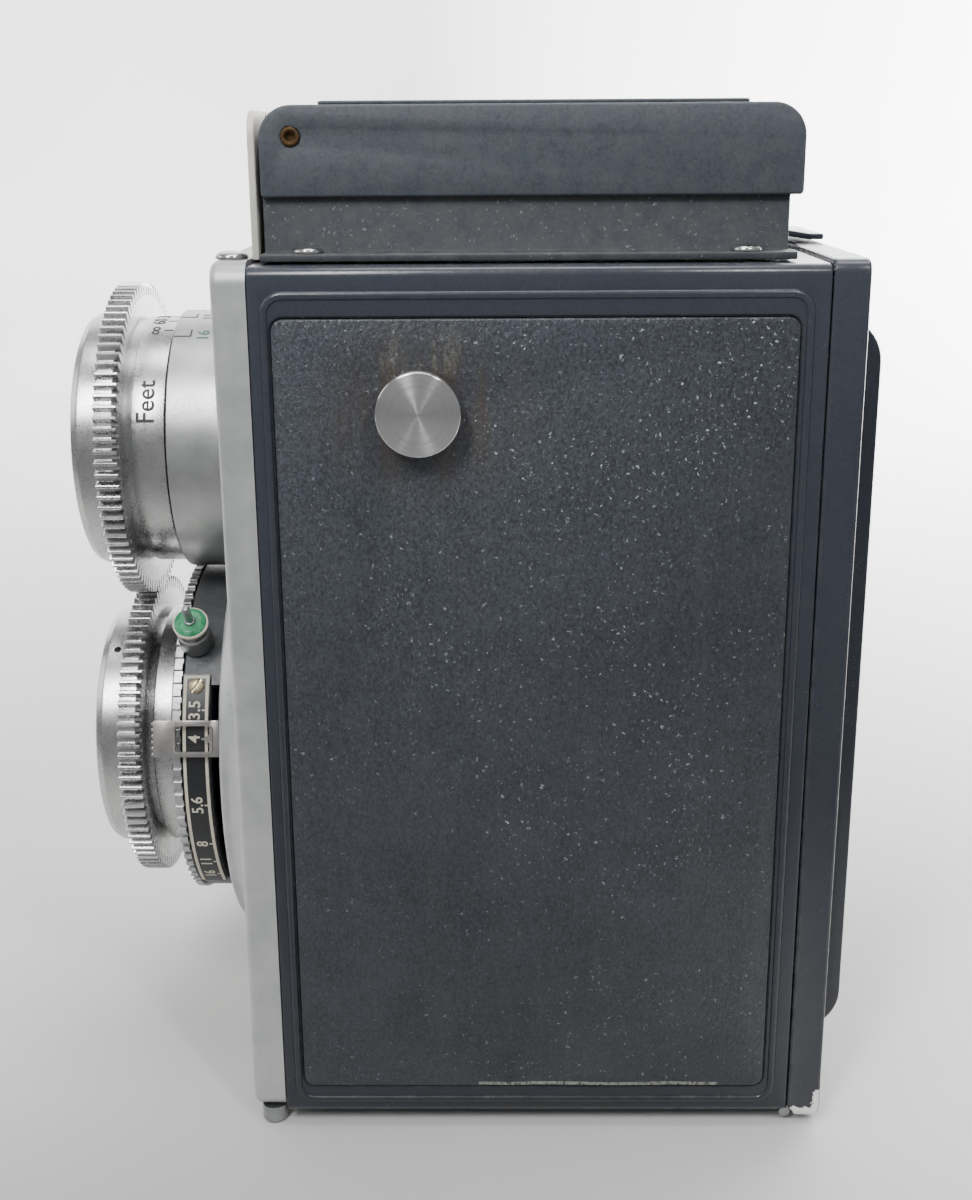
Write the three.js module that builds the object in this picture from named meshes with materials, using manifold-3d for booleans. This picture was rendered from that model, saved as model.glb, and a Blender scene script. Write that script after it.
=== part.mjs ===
// A twin lens reflex camera whose two lenses are coupled by gears.
// Millimetres, +Z up, lenses facing -Y, width along X. The origin is under the middle
// of the body, on the plane that the camera stands on.
import * as THREE from "three";
import Module from "manifold-3d";
import { mergeVertices } from "three/addons/utils/BufferGeometryUtils.js";

// Driving dimensions.
const body = { half: 37.5, front: -32.8, rear: 32.6, low: 2, top: 110.85, wall: 1.4 };
const plate = { front: -36.95, low: 2.3, top: 111.4, corner: 2, bevel: 0.8 };
const leather = { front: -30.35, rear: 29.45, low: 6, top: 105.2, inner: 37.15, outer: 37.75 };
const recessFloor = 37.1;
const opening = { screen: 28.8, screenFront: -28.5, screenRear: 25.4, viewing: 15.3, taking: 21, shaft: 3.3,
  bush: 6 };
const stud = { y: -13.65, z: 94.7, neck: 2.4, head: 4.85, headFrom: 38.6, headTo: 40.9 };
const foot = { x: 35.5, y: -34.55, radius: 1.65 };
const topScrew = { x: 33, y: -34.9, radius: 1.9, height: 0.9 };
const takingZ = 42.55;
const gear = { teeth: 92, pitchRadius: 21, front: -55.75, rear: -52.75, backlash: 0.09 };
const viewingZ = takingZ + 2 * gear.pitchRadius;
const mount = { outer: 17.6, bore: 15.6, front: -47.35, spigot: 14.9, spigotBore: 14.4, rear: -31 };
const scaleBarrel = { outer: 16.8, rear: -47.65 };
const viewingBore = 15;
const cell = { radius: 17.2, front: -59.9, rear: -56.05, barrel: 14.1, lip: 14.6 };
const viewingGlass = { radius: 12.1, front: -56.9, bulge: 1.6, rear: -52.5 };
const takingGlass = { radius: 10.9, front: -56.9, bulge: 1.2, rear: -52.5 };
const rearGlass = { radius: 9.2, front: -40.6, bulge: 0.8, rear: -38.4 };
const takingTube = { radius: 15.5, rear: -48 };
const boss = { radius: 28, base: 33, front: -40.95, bore: 20.7 };
const drum = { radius: 23.6, front: -46.55, rear: -41.15, collar: 17.1, collarBore: 15.8,
  collarFront: -51.9 };
const shutterRoom = { radius: 21.9, front: -45.6, rear: -41.65 };
const iris = { bore: 6, radius: 18.6, front: -42.75, rear: -41.95 };
const slot = { from: 20.9, to: 26, spare: 7 };
const speedRing = { radius: 23.9, bore: 17.5, front: -47.85, rear: -46.75, rise: -48.9 };
const scalePlate = { radius: 24.05, front: -46.5, rear: -42.95, from: -47, to: 36 };
const lever = { angle: 15.6, front: -50.3, rear: -41.4, radius: 24.5, thick: 0.6, width: 4.8,
  window: { front: -47.15, rear: -43.5, half: 1.7 } };
const leverTurn = { down: -56, up: 10 };
const sync = { angle: 47, y: -45.1, from: 24, top: 29.2, post: 2.3, insulator: 2.1, pin: 0.55 };
const release = { angle: 205, y: -43.8, travel: 18 };
const hood = { half: 31, front: -31.4, rear: 28.6, low: 111.15, top: 118.6, wall: 1 };
const hoodScrew = { x: 33.1, front: -26.15, rear: 23.45, radius: 1.8, height: 0.85 };
const lid = { half: 32, front: -31.45, rear: 29.95, low: 118.1, top: 128.1, corner: 3.7, wall: 0.8 };
const plaque = { half: 31.5, front: -32.8, rear: -32, top: 127.6, corner: 3 };
const pivot = { y: -27.85, z: 124.7, radius: 0.95, from: 29.9, to: 32.3 };
const cover = { front: 32.7, rear: 36.95, low: 0.93, top: 111.35, corner: 1.6, wall: 1.2 };
const panel = { half: 30, rear: 40.45, low: 9.7, top: 104.3, corner: 5.5 };
const hinge = { y: 32.6, z: 1.35, radius: 0.75, clear: 1.1 };
const latch = { y: 29.85, z: 112.55, radius: 0.9, half: 9 };
const gate = { half: 28.2, rear: 28.2, front: 5, mouth: 20.5 };
const spool = { half: 32.5, flange: 12.4, core: 5.5, bore: 4.6 };
const takeup = { y: 17.5, z: 81.8 };
const supply = { y: -9, z: 16.1 };
const flap = { x: 29.3, z: 119.2, width: 28, thick: 0.4, front: -23.6, rear: 26 };
const rearFlap = { y: 26.9, z: 117.8, length: 22, half: 28 };
const magnifier = { y: 0.15, z: 125.6, centre: 14.5, ring: 12.5, lens: 10.6 };
const tripod = { y: 9, radius: 3.1, depth: 6.2 };
const windowPlace = { z: 38, radius: 4.5, knobX: 12, travel: 11 };
const blade = { eye: 6.2, reach: 12.5, tip: 1.8, angle: 100, upper: -45.1, lower: -44.4 };
const sides = { tiny: 10, small: 14, round: 24, large: 36 };

const wasm = await Module();
wasm.setup();

// A three.js geometry as a solid that can be joined and cut, and back again.
function solidOf(geometry) {
  const bare = new THREE.BufferGeometry();
  bare.setAttribute("position", geometry.getAttribute("position").clone());
  if (geometry.index) bare.setIndex(geometry.index.clone());
  const merged = mergeVertices(bare, 1e-4);
  const corners = merged.index.array;
  const kept = [];
  for (let i = 0; i < corners.length; i += 3) {
    const [a, b, c] = corners.slice(i, i + 3);
    if (a !== b && b !== c && c !== a) kept.push(a, b, c);
  }
  const vertProperties = new Float32Array(merged.getAttribute("position").array);
  const triVerts = new Uint32Array(kept);
  return new wasm.Manifold(new wasm.Mesh({ numProp: 3, vertProperties, triVerts }));
}

function geometryOf(solid) {
  const mesh = solid.getMesh();
  const geometry = new THREE.BufferGeometry();
  geometry.setAttribute("position", new THREE.BufferAttribute(mesh.vertProperties, 3));
  geometry.setIndex(new THREE.BufferAttribute(mesh.triVerts, 1));
  geometry.computeVertexNormals();
  return geometry;
}

function cut(first, ...tools) {
  return geometryOf(tools.reduce((solid, tool) => solid.subtract(solidOf(tool)), solidOf(first)));
}

function join(first, ...others) {
  return geometryOf(others.reduce((solid, other) => solid.add(solidOf(other)), solidOf(first)));
}

function block(x0, x1, y0, y1, z0, z1) {
  const geometry = new THREE.BoxGeometry(x1 - x0, y1 - y0, z1 - z0);
  return geometry.translate((x0 + x1) / 2, (y0 + y1) / 2, (z0 + z1) / 2);
}

// A rounded rectangle; corners are [low left, low right, high right, high left].
function roundedRect(u0, u1, v0, v1, corners) {
  const [a, b, c, d] = Array.isArray(corners) ? corners : [corners, corners, corners, corners];
  const shape = new THREE.Shape();
  shape.moveTo(u0 + a, v0);
  shape.lineTo(u1 - b, v0);
  if (b) shape.absarc(u1 - b, v0 + b, b, -Math.PI / 2, 0);
  shape.lineTo(u1, v1 - c);
  if (c) shape.absarc(u1 - c, v1 - c, c, 0, Math.PI / 2);
  shape.lineTo(u0 + d, v1);
  if (d) shape.absarc(u0 + d, v1 - d, d, Math.PI / 2, Math.PI);
  shape.lineTo(u0, v0 + a);
  if (a) shape.absarc(u0 + a, v0 + a, a, Math.PI, Math.PI * 1.5);
  return shape;
}

function outline(points) {
  return new THREE.Shape(points.map(([u, v]) => new THREE.Vector2(u, v)));
}

function extrude(shape, depth, curveSegments) {
  return new THREE.ExtrudeGeometry(shape, { depth, curveSegments, bevelEnabled: false });
}

// Extrusions of a (Y, Z), an (X, Z) and an (X, Y) outline along the remaining axis.
function alongX(shape, x0, x1, curveSegments = 6) {
  const turn = new THREE.Matrix4().set(0, 0, 1, x0, 1, 0, 0, 0, 0, 1, 0, 0, 0, 0, 0, 1);
  return extrude(shape, x1 - x0, curveSegments).applyMatrix4(turn);
}

function alongY(shape, y0, y1, curveSegments = 6) {
  return extrude(shape, y1 - y0, curveSegments).rotateX(Math.PI / 2).translate(0, y1, 0);
}

function alongZ(shape, z0, z1, curveSegments = 6) {
  return extrude(shape, z1 - z0, curveSegments).translate(0, 0, z0);
}

const turnTo = {
  x: (geometry) => geometry.rotateZ(-Math.PI / 2),
  y: (geometry) => geometry,
  z: (geometry) => geometry.rotateX(Math.PI / 2),
};

// A round bar along one axis from start to end, through the point centre.
function rod(axis, radius, start, end, centre, count = sides.small) {
  const geometry = new THREE.CylinderGeometry(radius, radius, end - start, count);
  geometry.translate(0, (start + end) / 2, 0);
  return turnTo[axis](geometry).translate(...centre);
}

// A turned solid: (radius, place along the axis) points, closed on itself or on the axis.
function turned(axis, profile, centre, count = sides.large) {
  const points = profile.map(([radius, place]) => new THREE.Vector2(radius, place));
  const onAxis = points[0].x === 0 && points[points.length - 1].x === 0;
  if (THREE.ShapeUtils.area(points) < 0) points.reverse();
  if (!onAxis) points.push(points[0].clone());
  return turnTo[axis](new THREE.LatheGeometry(points, count)).translate(...centre);
}

// A dome screw head standing on the level start.
function dome(radius, height, start, centre) {
  const steps = 3;
  const points = [[0, start], [radius, start]];
  for (let i = 0; i < steps; i += 1) {
    const angle = (i / steps) * (Math.PI / 2);
    points.push([radius * Math.cos(angle), start + height * (0.25 + 0.75 * Math.sin(angle))]);
  }
  points.push([0, start + height]);
  return turned("z", points, centre, sides.tiny);
}

// Turns a piece made at the +X side of a lens axis to its angle above +X.
function atAngle(geometry, angle, z) {
  return geometry.rotateY(-THREE.MathUtils.degToRad(angle)).translate(0, 0, z);
}

// A flat sector of a ring about a lens axis, between two radii and two angles above +X.
function sector(inner, outer, from, to, y0, y1, z, curveSegments = 16) {
  const start = THREE.MathUtils.degToRad(from);
  const end = THREE.MathUtils.degToRad(to);
  const shape = new THREE.Shape();
  shape.absarc(0, 0, outer, start, end, false);
  shape.absarc(0, 0, inner, end, start, true);
  return alongY(shape, y0, y1, curveSegments).translate(0, 0, z);
}

const finishes = {
  silver: { color: 0xa6a9ab, roughness: 0.45, metalness: 0.9 },
  polished: { color: 0xc9cbcd, roughness: 0.2, metalness: 1 },
  enamel: { color: 0x26282c, roughness: 0.35, metalness: 0.1 },
  leather: { color: 0x222326, roughness: 0.6, metalness: 0 },
  brass: { color: 0x8b6f45, roughness: 0.5, metalness: 0.9 },
  glass: { color: 0x9fb3bd, roughness: 0.05, metalness: 0 },
  mirror: { color: 0xdfe3e6, roughness: 0.03, metalness: 1 },
  green: { color: 0x3d8a5c, roughness: 0.5, metalness: 0 },
  red: { color: 0x7d1414, roughness: 0.2, metalness: 0 },
  steel: { color: 0x8c8f92, roughness: 0.35, metalness: 1 },
  label: { color: 0x1c1d20, roughness: 0.4, metalness: 0.1 },
};

function piece(name, geometry, finish) {
  const mesh = new THREE.Mesh(geometry, new THREE.MeshStandardMaterial(finishes[finish]));
  mesh.name = name;
  return mesh;
}

function group(...pieces) {
  const assembly = new THREE.Group();
  assembly.add(...pieces.flat());
  return assembly;
}

// Each of the two sides of the camera, as a name and a direction along X.
const bothSides = [["left", 1], ["right", -1]];

function mirrored(geometry, side) {
  return side > 0 ? geometry : geometryOf(solidOf(geometry).mirror([1, 0, 0]));
}

function bodyShell() {
  const { half, front, rear, low, top, wall } = body;
  const outer = alongY(roundedRect(-half, half, low, top, 1.2), front, rear, 3);
  const room = block(-half + wall, half - wall, front + wall, rear + 5, low + wall, top - wall);
  const screen = block(-opening.screen, opening.screen, opening.screenFront, opening.screenRear, top - 5,
    top + 5);
  const viewingHole = rod("y", opening.viewing, front - 5, front + 5, [0, 0, viewingZ], sides.round);
  const takingHole = rod("y", opening.taking, front - 5, front + 5, [0, 0, takingZ], sides.round);
  const recess = alongX(roundedRect(leather.front, leather.rear, leather.low, leather.top, 1.5),
    recessFloor, half + 5, 3);
  const shaftHole = rod("x", opening.shaft, -half - 5, -half + 5, [0, takeup.y, takeup.z]);
  const bushHole = rod("z", opening.bush, low - 5, low + 5, [0, tripod.y, 0]);
  const hingeRoom = rod("x", hinge.clear, -half - 5, half + 5, [0, hinge.y, hinge.z], sides.tiny);
  return cut(outer, room, screen, viewingHole, takingHole, recess, mirrored(recess, -1),
    shaftHole, bushHole, hingeRoom);
}

function frontPlate() {
  const { half } = body;
  const { front, low, top, corner, bevel } = plate;
  const rear = body.front - 0.05;
  const shape = roundedRect(-half + bevel, half - bevel, low + bevel, top - bevel, corner);
  const settings = { depth: rear - front, curveSegments: 3, bevelThickness: bevel, bevelSize: bevel,
    bevelSegments: 2 };
  const slab = new THREE.ExtrudeGeometry(shape, settings).rotateX(Math.PI / 2).translate(0, rear + bevel, 0);
  const spare = block(-half - 5, half + 5, rear, rear + 5, low - 5, top + 5);
  const inside = boss.bore - 0.7;
  const flare = [[boss.base, front + 0.5], [boss.radius + 2, front - 0.7], [boss.radius + 0.7, front - 2],
    [boss.radius, boss.front], [inside, boss.front], [inside, front + 0.5]];
  const takingBoss = turned("y", flare, [0, 0, takingZ]);
  const seat = rod("y", mount.outer + 0.4, boss.front - 1, front, [0, 0, viewingZ], sides.large);
  const viewingHole = rod("y", mount.spigot + 0.3, boss.front - 1, rear + 1, [0, 0, viewingZ], sides.large);
  const takingHole = rod("y", boss.bore, boss.front - 1, rear + 1, [0, 0, takingZ], sides.large);
  return cut(join(slab, takingBoss), spare, seat, viewingHole, takingHole);
}

function leatherPanel(side) {
  const panelShape = roundedRect(leather.front + 0.15, leather.rear - 0.15, leather.low + 0.15,
    leather.top - 0.15, 1.4);
  const sheet = alongX(panelShape, leather.inner, leather.outer, 3);
  const studHole = rod("x", stud.neck + 0.3, 30, 50, [0, stud.y, stud.z]);
  const shaftHole = rod("x", opening.shaft + 0.1, 30, 50, [0, takeup.y, takeup.z]);
  return mirrored(side > 0 ? cut(sheet, studHole) : cut(sheet, studHole, shaftHole), side);
}

function strapStud(side) {
  const { neck, head, headFrom, headTo } = stud;
  const profile = [[0, leather.inner], [neck, leather.inner], [neck, headFrom], [head - 0.2, headFrom],
    [head, headFrom + 0.2], [head, headTo - 0.35], [head - 0.35, headTo], [0, headTo]];
  return mirrored(turned("x", profile, [0, stud.y, stud.z], sides.round), side);
}

function frontFoot(side) {
  const { x, y, radius } = foot;
  const profile = [[0, 0], [radius - 0.5, 0], [radius, 0.5], [radius, plate.low - 0.1], [0, plate.low - 0.1]];
  return turned("z", profile, [side * x, y, 0], sides.small);
}

// The gear's outline about its own axis; phase is the angle of a tooth above +X.
function gearOutline(phase, bore) {
  const { teeth, pitchRadius, backlash } = gear;
  const module = (2 * pitchRadius) / teeth;
  const tip = pitchRadius + 0.85 * module;
  const root = pitchRadius - 1.15 * module;
  const slope = Math.tan(THREE.MathUtils.degToRad(20));
  const halfPitchWidth = ((Math.PI * module) / 2 - backlash) / 2;
  const halfTip = (halfPitchWidth - (tip - pitchRadius) * slope) / tip;
  const halfRoot = (halfPitchWidth + (pitchRadius - root) * slope) / root;
  const points = [];
  for (let tooth = 0; tooth < teeth; tooth += 1) {
    const middle = phase + (tooth * 2 * Math.PI) / teeth;
    const edges = [[root, -halfRoot], [tip, -halfTip], [tip, halfTip], [root, halfRoot]];
    for (const [radius, off] of edges) {
      points.push([radius * Math.cos(middle + off), radius * Math.sin(middle + off)]);
    }
  }
  const shape = outline(points);
  shape.holes.push(new THREE.Path().absarc(0, 0, bore, 0, 2 * Math.PI, true));
  return shape;
}

// A gear wheel with the tube behind it that it is turned from.
function gearRing(phase, bore, tubeRadius, tubeRear, z) {
  const wheel = alongY(gearOutline(phase, bore), gear.front, gear.rear, 12);
  const tubeFront = gear.rear - 1;
  const tubeProfile = [[bore, tubeFront], [tubeRadius, tubeFront], [tubeRadius, tubeRear], [bore, tubeRear]];
  return join(wheel, turned("y", tubeProfile, [0, 0, 0])).translate(0, 0, z);
}

function viewingMount() {
  const profile = [[mount.bore, mount.front], [mount.outer, mount.front], [mount.outer, plate.front - 0.1],
    [mount.spigot, plate.front - 0.1], [mount.spigot, mount.rear], [mount.spigotBore, mount.rear],
    [mount.spigotBore, plate.front - 1.5], [mount.bore, plate.front - 1.5]];
  return turned("y", profile, [0, 0, viewingZ]);
}

// A lens cell: a flanged front ring, a barrel behind it and a bore for the glass.
function lensCell(barrel, bore, rear, z) {
  const { radius, front, lip } = cell;
  const profile = [[bore, rear], [barrel, rear], [barrel, cell.rear], [radius, cell.rear],
    [radius, front + 0.6], [radius - 0.6, front], [lip, front], [bore + 1.2, front + 2.6],
    [bore, front + 2.6]];
  return turned("y", profile, [0, 0, z]);
}

function lensGlass({ radius, front, bulge, rear }, z) {
  const steps = 5;
  const profile = [[0, rear], [radius, rear]];
  for (let i = 0; i <= steps; i += 1) {
    const share = 1 - i / steps;
    profile.push([radius * share, front - bulge * (1 - share * share)]);
  }
  return turned("y", profile, [0, 0, z], sides.round);
}

function shutterCase() {
  const spigot = 20.4;
  const web = { bore: 9.5, rear: -38.2, wall: 1.5, end: -34 };
  const profile = [[drum.collarBore, drum.collarFront], [drum.collar, drum.collarFront],
    [drum.collar, drum.front], [drum.radius, drum.front], [drum.radius, drum.rear], [spigot, drum.rear],
    [spigot, web.end],
    [spigot - web.wall, web.end], [spigot - web.wall, web.rear], [web.bore, web.rear],
    [web.bore, shutterRoom.rear], [shutterRoom.radius, shutterRoom.rear],
    [shutterRoom.radius, shutterRoom.front], [drum.collarBore, shutterRoom.front]];
  const shell = turned("y", profile, [0, 0, takingZ]);
  const { angle } = lever;
  const { from, to, spare } = slot;
  const leverSlot = sector(from, to, angle + leverTurn.down - spare, angle + leverTurn.up + spare,
    iris.front - 0.1, iris.rear + 0.2, takingZ);
  const releaseSlot = sector(from, to, release.angle - spare, release.angle + release.travel + spare,
    release.y - 0.9, release.y + 0.9, takingZ);
  return cut(shell, leverSlot, releaseSlot);
}

function speedRingShape() {
  const { radius, bore, front, rear, rise } = speedRing;
  const profile = [[bore, rear], [radius, rear], [radius, front], [radius - 1.2, front], [bore + 1.8, rise],
    [bore, rise]];
  return turned("y", profile, [0, 0, takingZ]);
}

function apertureLever() {
  const { front, rear, radius, thick, width, angle } = lever;
  const half = width / 2;
  const strip = block(radius, radius + thick, front, rear, -half, half);
  const { front: windowFront, rear: windowRear, half: windowHalf } = lever.window;
  const windowHole = block(radius - 1, radius + thick + 1, windowFront, windowRear, -windowHalf, windowHalf);
  const arm = block(iris.radius + 0.4, radius + thick, iris.front, iris.rear, -2, 2);
  return atAngle(join(cut(strip, windowHole), arm), angle, takingZ);
}

function irisRing() {
  const { bore, radius, front, rear } = iris;
  const profile = [[bore, front], [radius, front], [radius, rear], [bore, rear]];
  return turned("y", profile, [0, 0, takingZ], sides.round);
}

function shutterBlade(angle, y) {
  const { eye, reach, tip } = blade;
  const shape = new THREE.Shape();
  shape.absarc(0, 0, eye, Math.PI / 2, Math.PI * 1.5, false);
  shape.lineTo(reach, -tip);
  shape.absarc(reach, 0, tip, -Math.PI / 2, Math.PI / 2, false);
  return atAngle(alongY(shape, y, y + 0.3, 8), angle, takingZ);
}

function releaseLever() {
  const { y, angle } = release;
  const arm = block(19, 28, y - 0.5, y + 0.5, -1.8, 1.8);
  const thumb = block(27, 28, y - 2.6, y + 0.5, -2.6, 2.6);
  return atAngle(join(arm, thumb), angle, takingZ);
}

function syncPiece(profile) {
  const { angle, y } = sync;
  return atAngle(turned("x", profile, [0, 0, 0], sides.small), angle, takingZ).translate(0, y, 0);
}

function hoodBase() {
  const { half, front, rear, low, top, wall } = hood;
  const flange = block(-35, 35, front, rear + 0.4, low, low + 0.85);
  const walls = block(-half, half, front, rear, low, top);
  const ears = bothSides.map(([, side]) => {
    const inner = half - 0.9;
    const outer = half - 0.1;
    const [x0, x1] = side > 0 ? [inner, outer] : [-outer, -inner];
    return join(block(x0, x1, pivot.y - 2.3, pivot.y + 2.3, top - 1, pivot.z),
      rod("x", 2.3, x0, x1, [0, pivot.y, pivot.z]));
  });
  const room = block(-half + wall, half - wall, front + wall, rear - wall, low - 5, top + 5);
  const pivotHole = rod("x", pivot.radius + 0.1, -40, 40, [0, pivot.y, pivot.z], sides.small);
  const shell = cut(join(flange, walls), room);
  return cut(join(shell, ...ears), pivotHole);
}

// The upright name plate in front of the hood, left blank, with rounded top corners.
function namePlate() {
  const { half, front, rear, top, corner } = plaque;
  return alongY(roundedRect(-half, half, body.top + 0.3, top, [0, 0, corner, corner]), front, rear, 5);
}

function hoodLid() {
  const { half, front, rear, low, top, corner, wall } = lid;
  const outer = alongX(roundedRect(front, rear, low, top, [0, 0.5, corner, corner]), -half, half, 6);
  const room = alongX(roundedRect(front + wall, rear - wall, low - 5, top - wall,
    [0, 0, corner - wall, corner - wall]), -half + wall, half - wall, 6);
  const mouth = block(-half + wall, half - wall, front - 1, front + 2, low - 1, 121.5);
  const earRooms = bothSides.map(([, side]) => {
    const [x0, x1] = side > 0 ? [pivot.from, half - wall] : [-half + wall, -pivot.from];
    return block(x0, x1, front - 1, pivot.y, low - 1, top + 1);
  });
  const pivotHole = rod("x", pivot.radius + 0.08, -40, 40, [0, pivot.y, pivot.z]);
  const lugs = bothSides.map(([, side]) => {
    const [x0, x1] = side > 0 ? [11.9, 12.9] : [-12.9, -11.9];
    return block(x0, x1, magnifier.y - 1, magnifier.y + 1, magnifier.z - 0.8, top - wall / 2);
  });
  return join(cut(outer, room, mouth, ...earRooms, pivotHole), ...lugs);
}

function lidPivot(side) {
  const { y, z, radius, from, to } = pivot;
  const profile = [[0, from], [radius, from], [radius, to - 0.15], [radius - 0.4, to], [0.4, to],
    [0.4, to - 0.6], [0, to - 0.6]];
  return mirrored(turned("x", profile, [0, y, z], sides.small), side);
}

// A side flap, lying flat; its front edge runs back at 45 degrees so that the lid clears it.
function sideFlap(side) {
  const { x, z, width, thick, front, rear } = flap;
  const tip = x - width;
  const shape = outline([[x, front], [x, rear], [tip + 3, rear], [tip, rear - 3], [tip, front + width]]);
  const leaf = alongZ(shape, z - thick / 2, z + thick / 2);
  return mirrored(join(leaf, rod("y", 0.4, front, rear, [x, 0, z], sides.tiny)), side);
}

function rearFlapShape() {
  const { y, z, length, half } = rearFlap;
  const shape = outline([[-half, y], [-half + length, y - length], [half - length, y - length], [half, y]]);
  const leaf = alongZ(shape, z - flap.thick / 2, z + flap.thick / 2);
  return join(leaf, rod("x", 0.4, -half, half, [0, y, z], sides.tiny));
}

function magnifierFrame() {
  const { y, z, centre, ring, lens } = magnifier;
  const bar = block(-ring + 2, ring - 2, y, y + 4, z - 0.4, z + 0.4);
  const disc = rod("z", ring, z - 0.9, z + 0.9, [0, centre, 0], sides.round);
  const hole = rod("z", lens + 0.3, z - 5, z + 5, [0, centre, 0], sides.round);
  const barrel = rod("x", 0.7, -11.6, 11.6, [0, y, z], sides.tiny);
  return cut(join(bar, disc, barrel), hole);
}

function magnifierLens() {
  const { z, centre, lens } = magnifier;
  const profile = [[0, z - 1.5], [lens * 0.6, z - 1.2], [lens, z - 0.5], [lens, z + 0.5],
    [lens * 0.6, z + 1.2], [0, z + 1.5]];
  return turned("z", profile, [0, centre, 0], sides.round);
}

function backCover() {
  const { front, rear, low, top, corner, wall } = cover;
  const { half } = body;
  const tray = alongY(roundedRect(-half, half, low, top, corner), front, rear, 3);
  const raised = alongX(roundedRect(rear - 3, panel.rear, panel.low, panel.top, [0, panel.corner,
    panel.corner, 0]), -panel.half, panel.half, 5);
  const room = block(-half + wall, half - wall, front - 1, rear - wall, low + wall + 0.6, top - wall);
  const panelRoom = alongX(roundedRect(rear - 4, panel.rear - wall, panel.low + wall, panel.top - wall,
    [0, 3.5, 3.5, 0]), -panel.half + wall, panel.half - wall, 3);
  const { z, radius, knobX, travel } = windowPlace;
  const viewHole = rod("y", radius, rear, panel.rear + 5, [0, 0, z]);
  const slot = block(knobX - 1.9, knobX + travel + 1.9, rear, panel.rear + 5, z - 1.9, z + 1.9);
  const hingeRoom = rod("x", hinge.clear, -half - 5, half + 5, [0, hinge.y, hinge.z], sides.tiny);
  return cut(join(tray, raised), room, panelRoom, viewHole, slot, hingeRoom);
}

function windowShutter() {
  const { z, knobX } = windowPlace;
  const inner = panel.rear - cover.wall;
  const leaf = block(-6, knobX + 3, inner - 0.8, inner - 0.25, z - 6.5, z + 6.5);
  const knob = rod("y", 1.6, inner - 0.5, panel.rear + 0.9, [knobX, 0, z], sides.small);
  return join(leaf, knob);
}

// A bowed leaf between the pressure plate and the cover.
function pressureSpring() {
  const ends = { x: 24, y: 31.9 };
  const steps = 10;
  const thick = 0.4;
  const front = [];
  const back = [];
  for (let i = 0; i <= steps; i += 1) {
    const share = (2 * i) / steps - 1;
    const y = ends.y + 6.4 * (1 - share * share);
    front.push([share * ends.x, y]);
    back.unshift([share * ends.x, y + thick]);
  }
  return alongZ(outline([...front, ...back]), 54, 62);
}

function backLatch() {
  const { y, z, radius, half } = latch;
  const shape = outline([[y, z - 0.35], [y + 2, z - 0.35], [y + 5.4, z - 0.85], [y + 7.2, z - 0.85],
    [y + 7.2, z - 0.15], [y + 5.4, z - 0.1], [y + 2, z + 0.45], [y, z + 0.45]]);
  return join(alongX(shape, -half, half), rod("x", radius, -half, half, [0, y, z], sides.small));
}

function windingKnob() {
  const profile = [[0, -33], [2.9, -33], [2.9, -38.2], [8.6, -38.2], [9, -38.8], [9, -47.4], [8.2, -48.2],
    [0, -48.2]];
  return turned("x", profile, [0, takeup.y, takeup.z], sides.round);
}

function filmSpool(place) {
  const { half, flange, core, bore } = spool;
  const profile = [[bore, -half], [flange, -half], [flange, -half + 0.8], [core, -half + 0.8],
    [core, half - 0.8], [flange, half - 0.8], [flange, half], [bore, half]];
  return turned("x", profile, [0, place.y, place.z], sides.round);
}

// The film gate: a flat plate with a square opening and the square light hood in front of it.
function filmGate() {
  const { half, rear, front, mouth } = gate;
  const diagonal = Math.SQRT2;
  const squareCone = (nearHalf, farHalf) => {
    const cone = new THREE.CylinderGeometry(farHalf * diagonal, nearHalf * diagonal, rear - front, 4);
    return cone.rotateY(Math.PI / 4).translate(0, (rear + front) / 2, takingZ);
  };
  const sheet = block(-34, 34, rear - 1.2, rear, takingZ - 31, takingZ + 29.2);
  const hollow = squareCone(mouth, half);
  hollow.scale(1, 1.2, 1).translate(0, -0.1 * (rear + front), 0);
  return cut(join(sheet, squareCone(mouth + 1.1, half + 1.1)), hollow);
}

function mirrorPlate() {
  const halfLength = 34;
  const slab = block(-27, 27, -halfLength, halfLength, -1.5, 0);
  return slab.rotateX(Math.PI / 4).translate(0, -2, viewingZ);
}

function tripodBush() {
  const { y, radius, depth } = tripod;
  const base = alongZ(roundedRect(-14, 14, -8, 22, 3), 0, body.low - 0.1, 3);
  const bush = rod("z", 5.6, 1, depth + 1.2, [0, y, 0], sides.round);
  const hole = rod("z", radius, -1, depth, [0, y, 0], sides.small);
  return cut(join(base, bush), hole);
}

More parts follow.
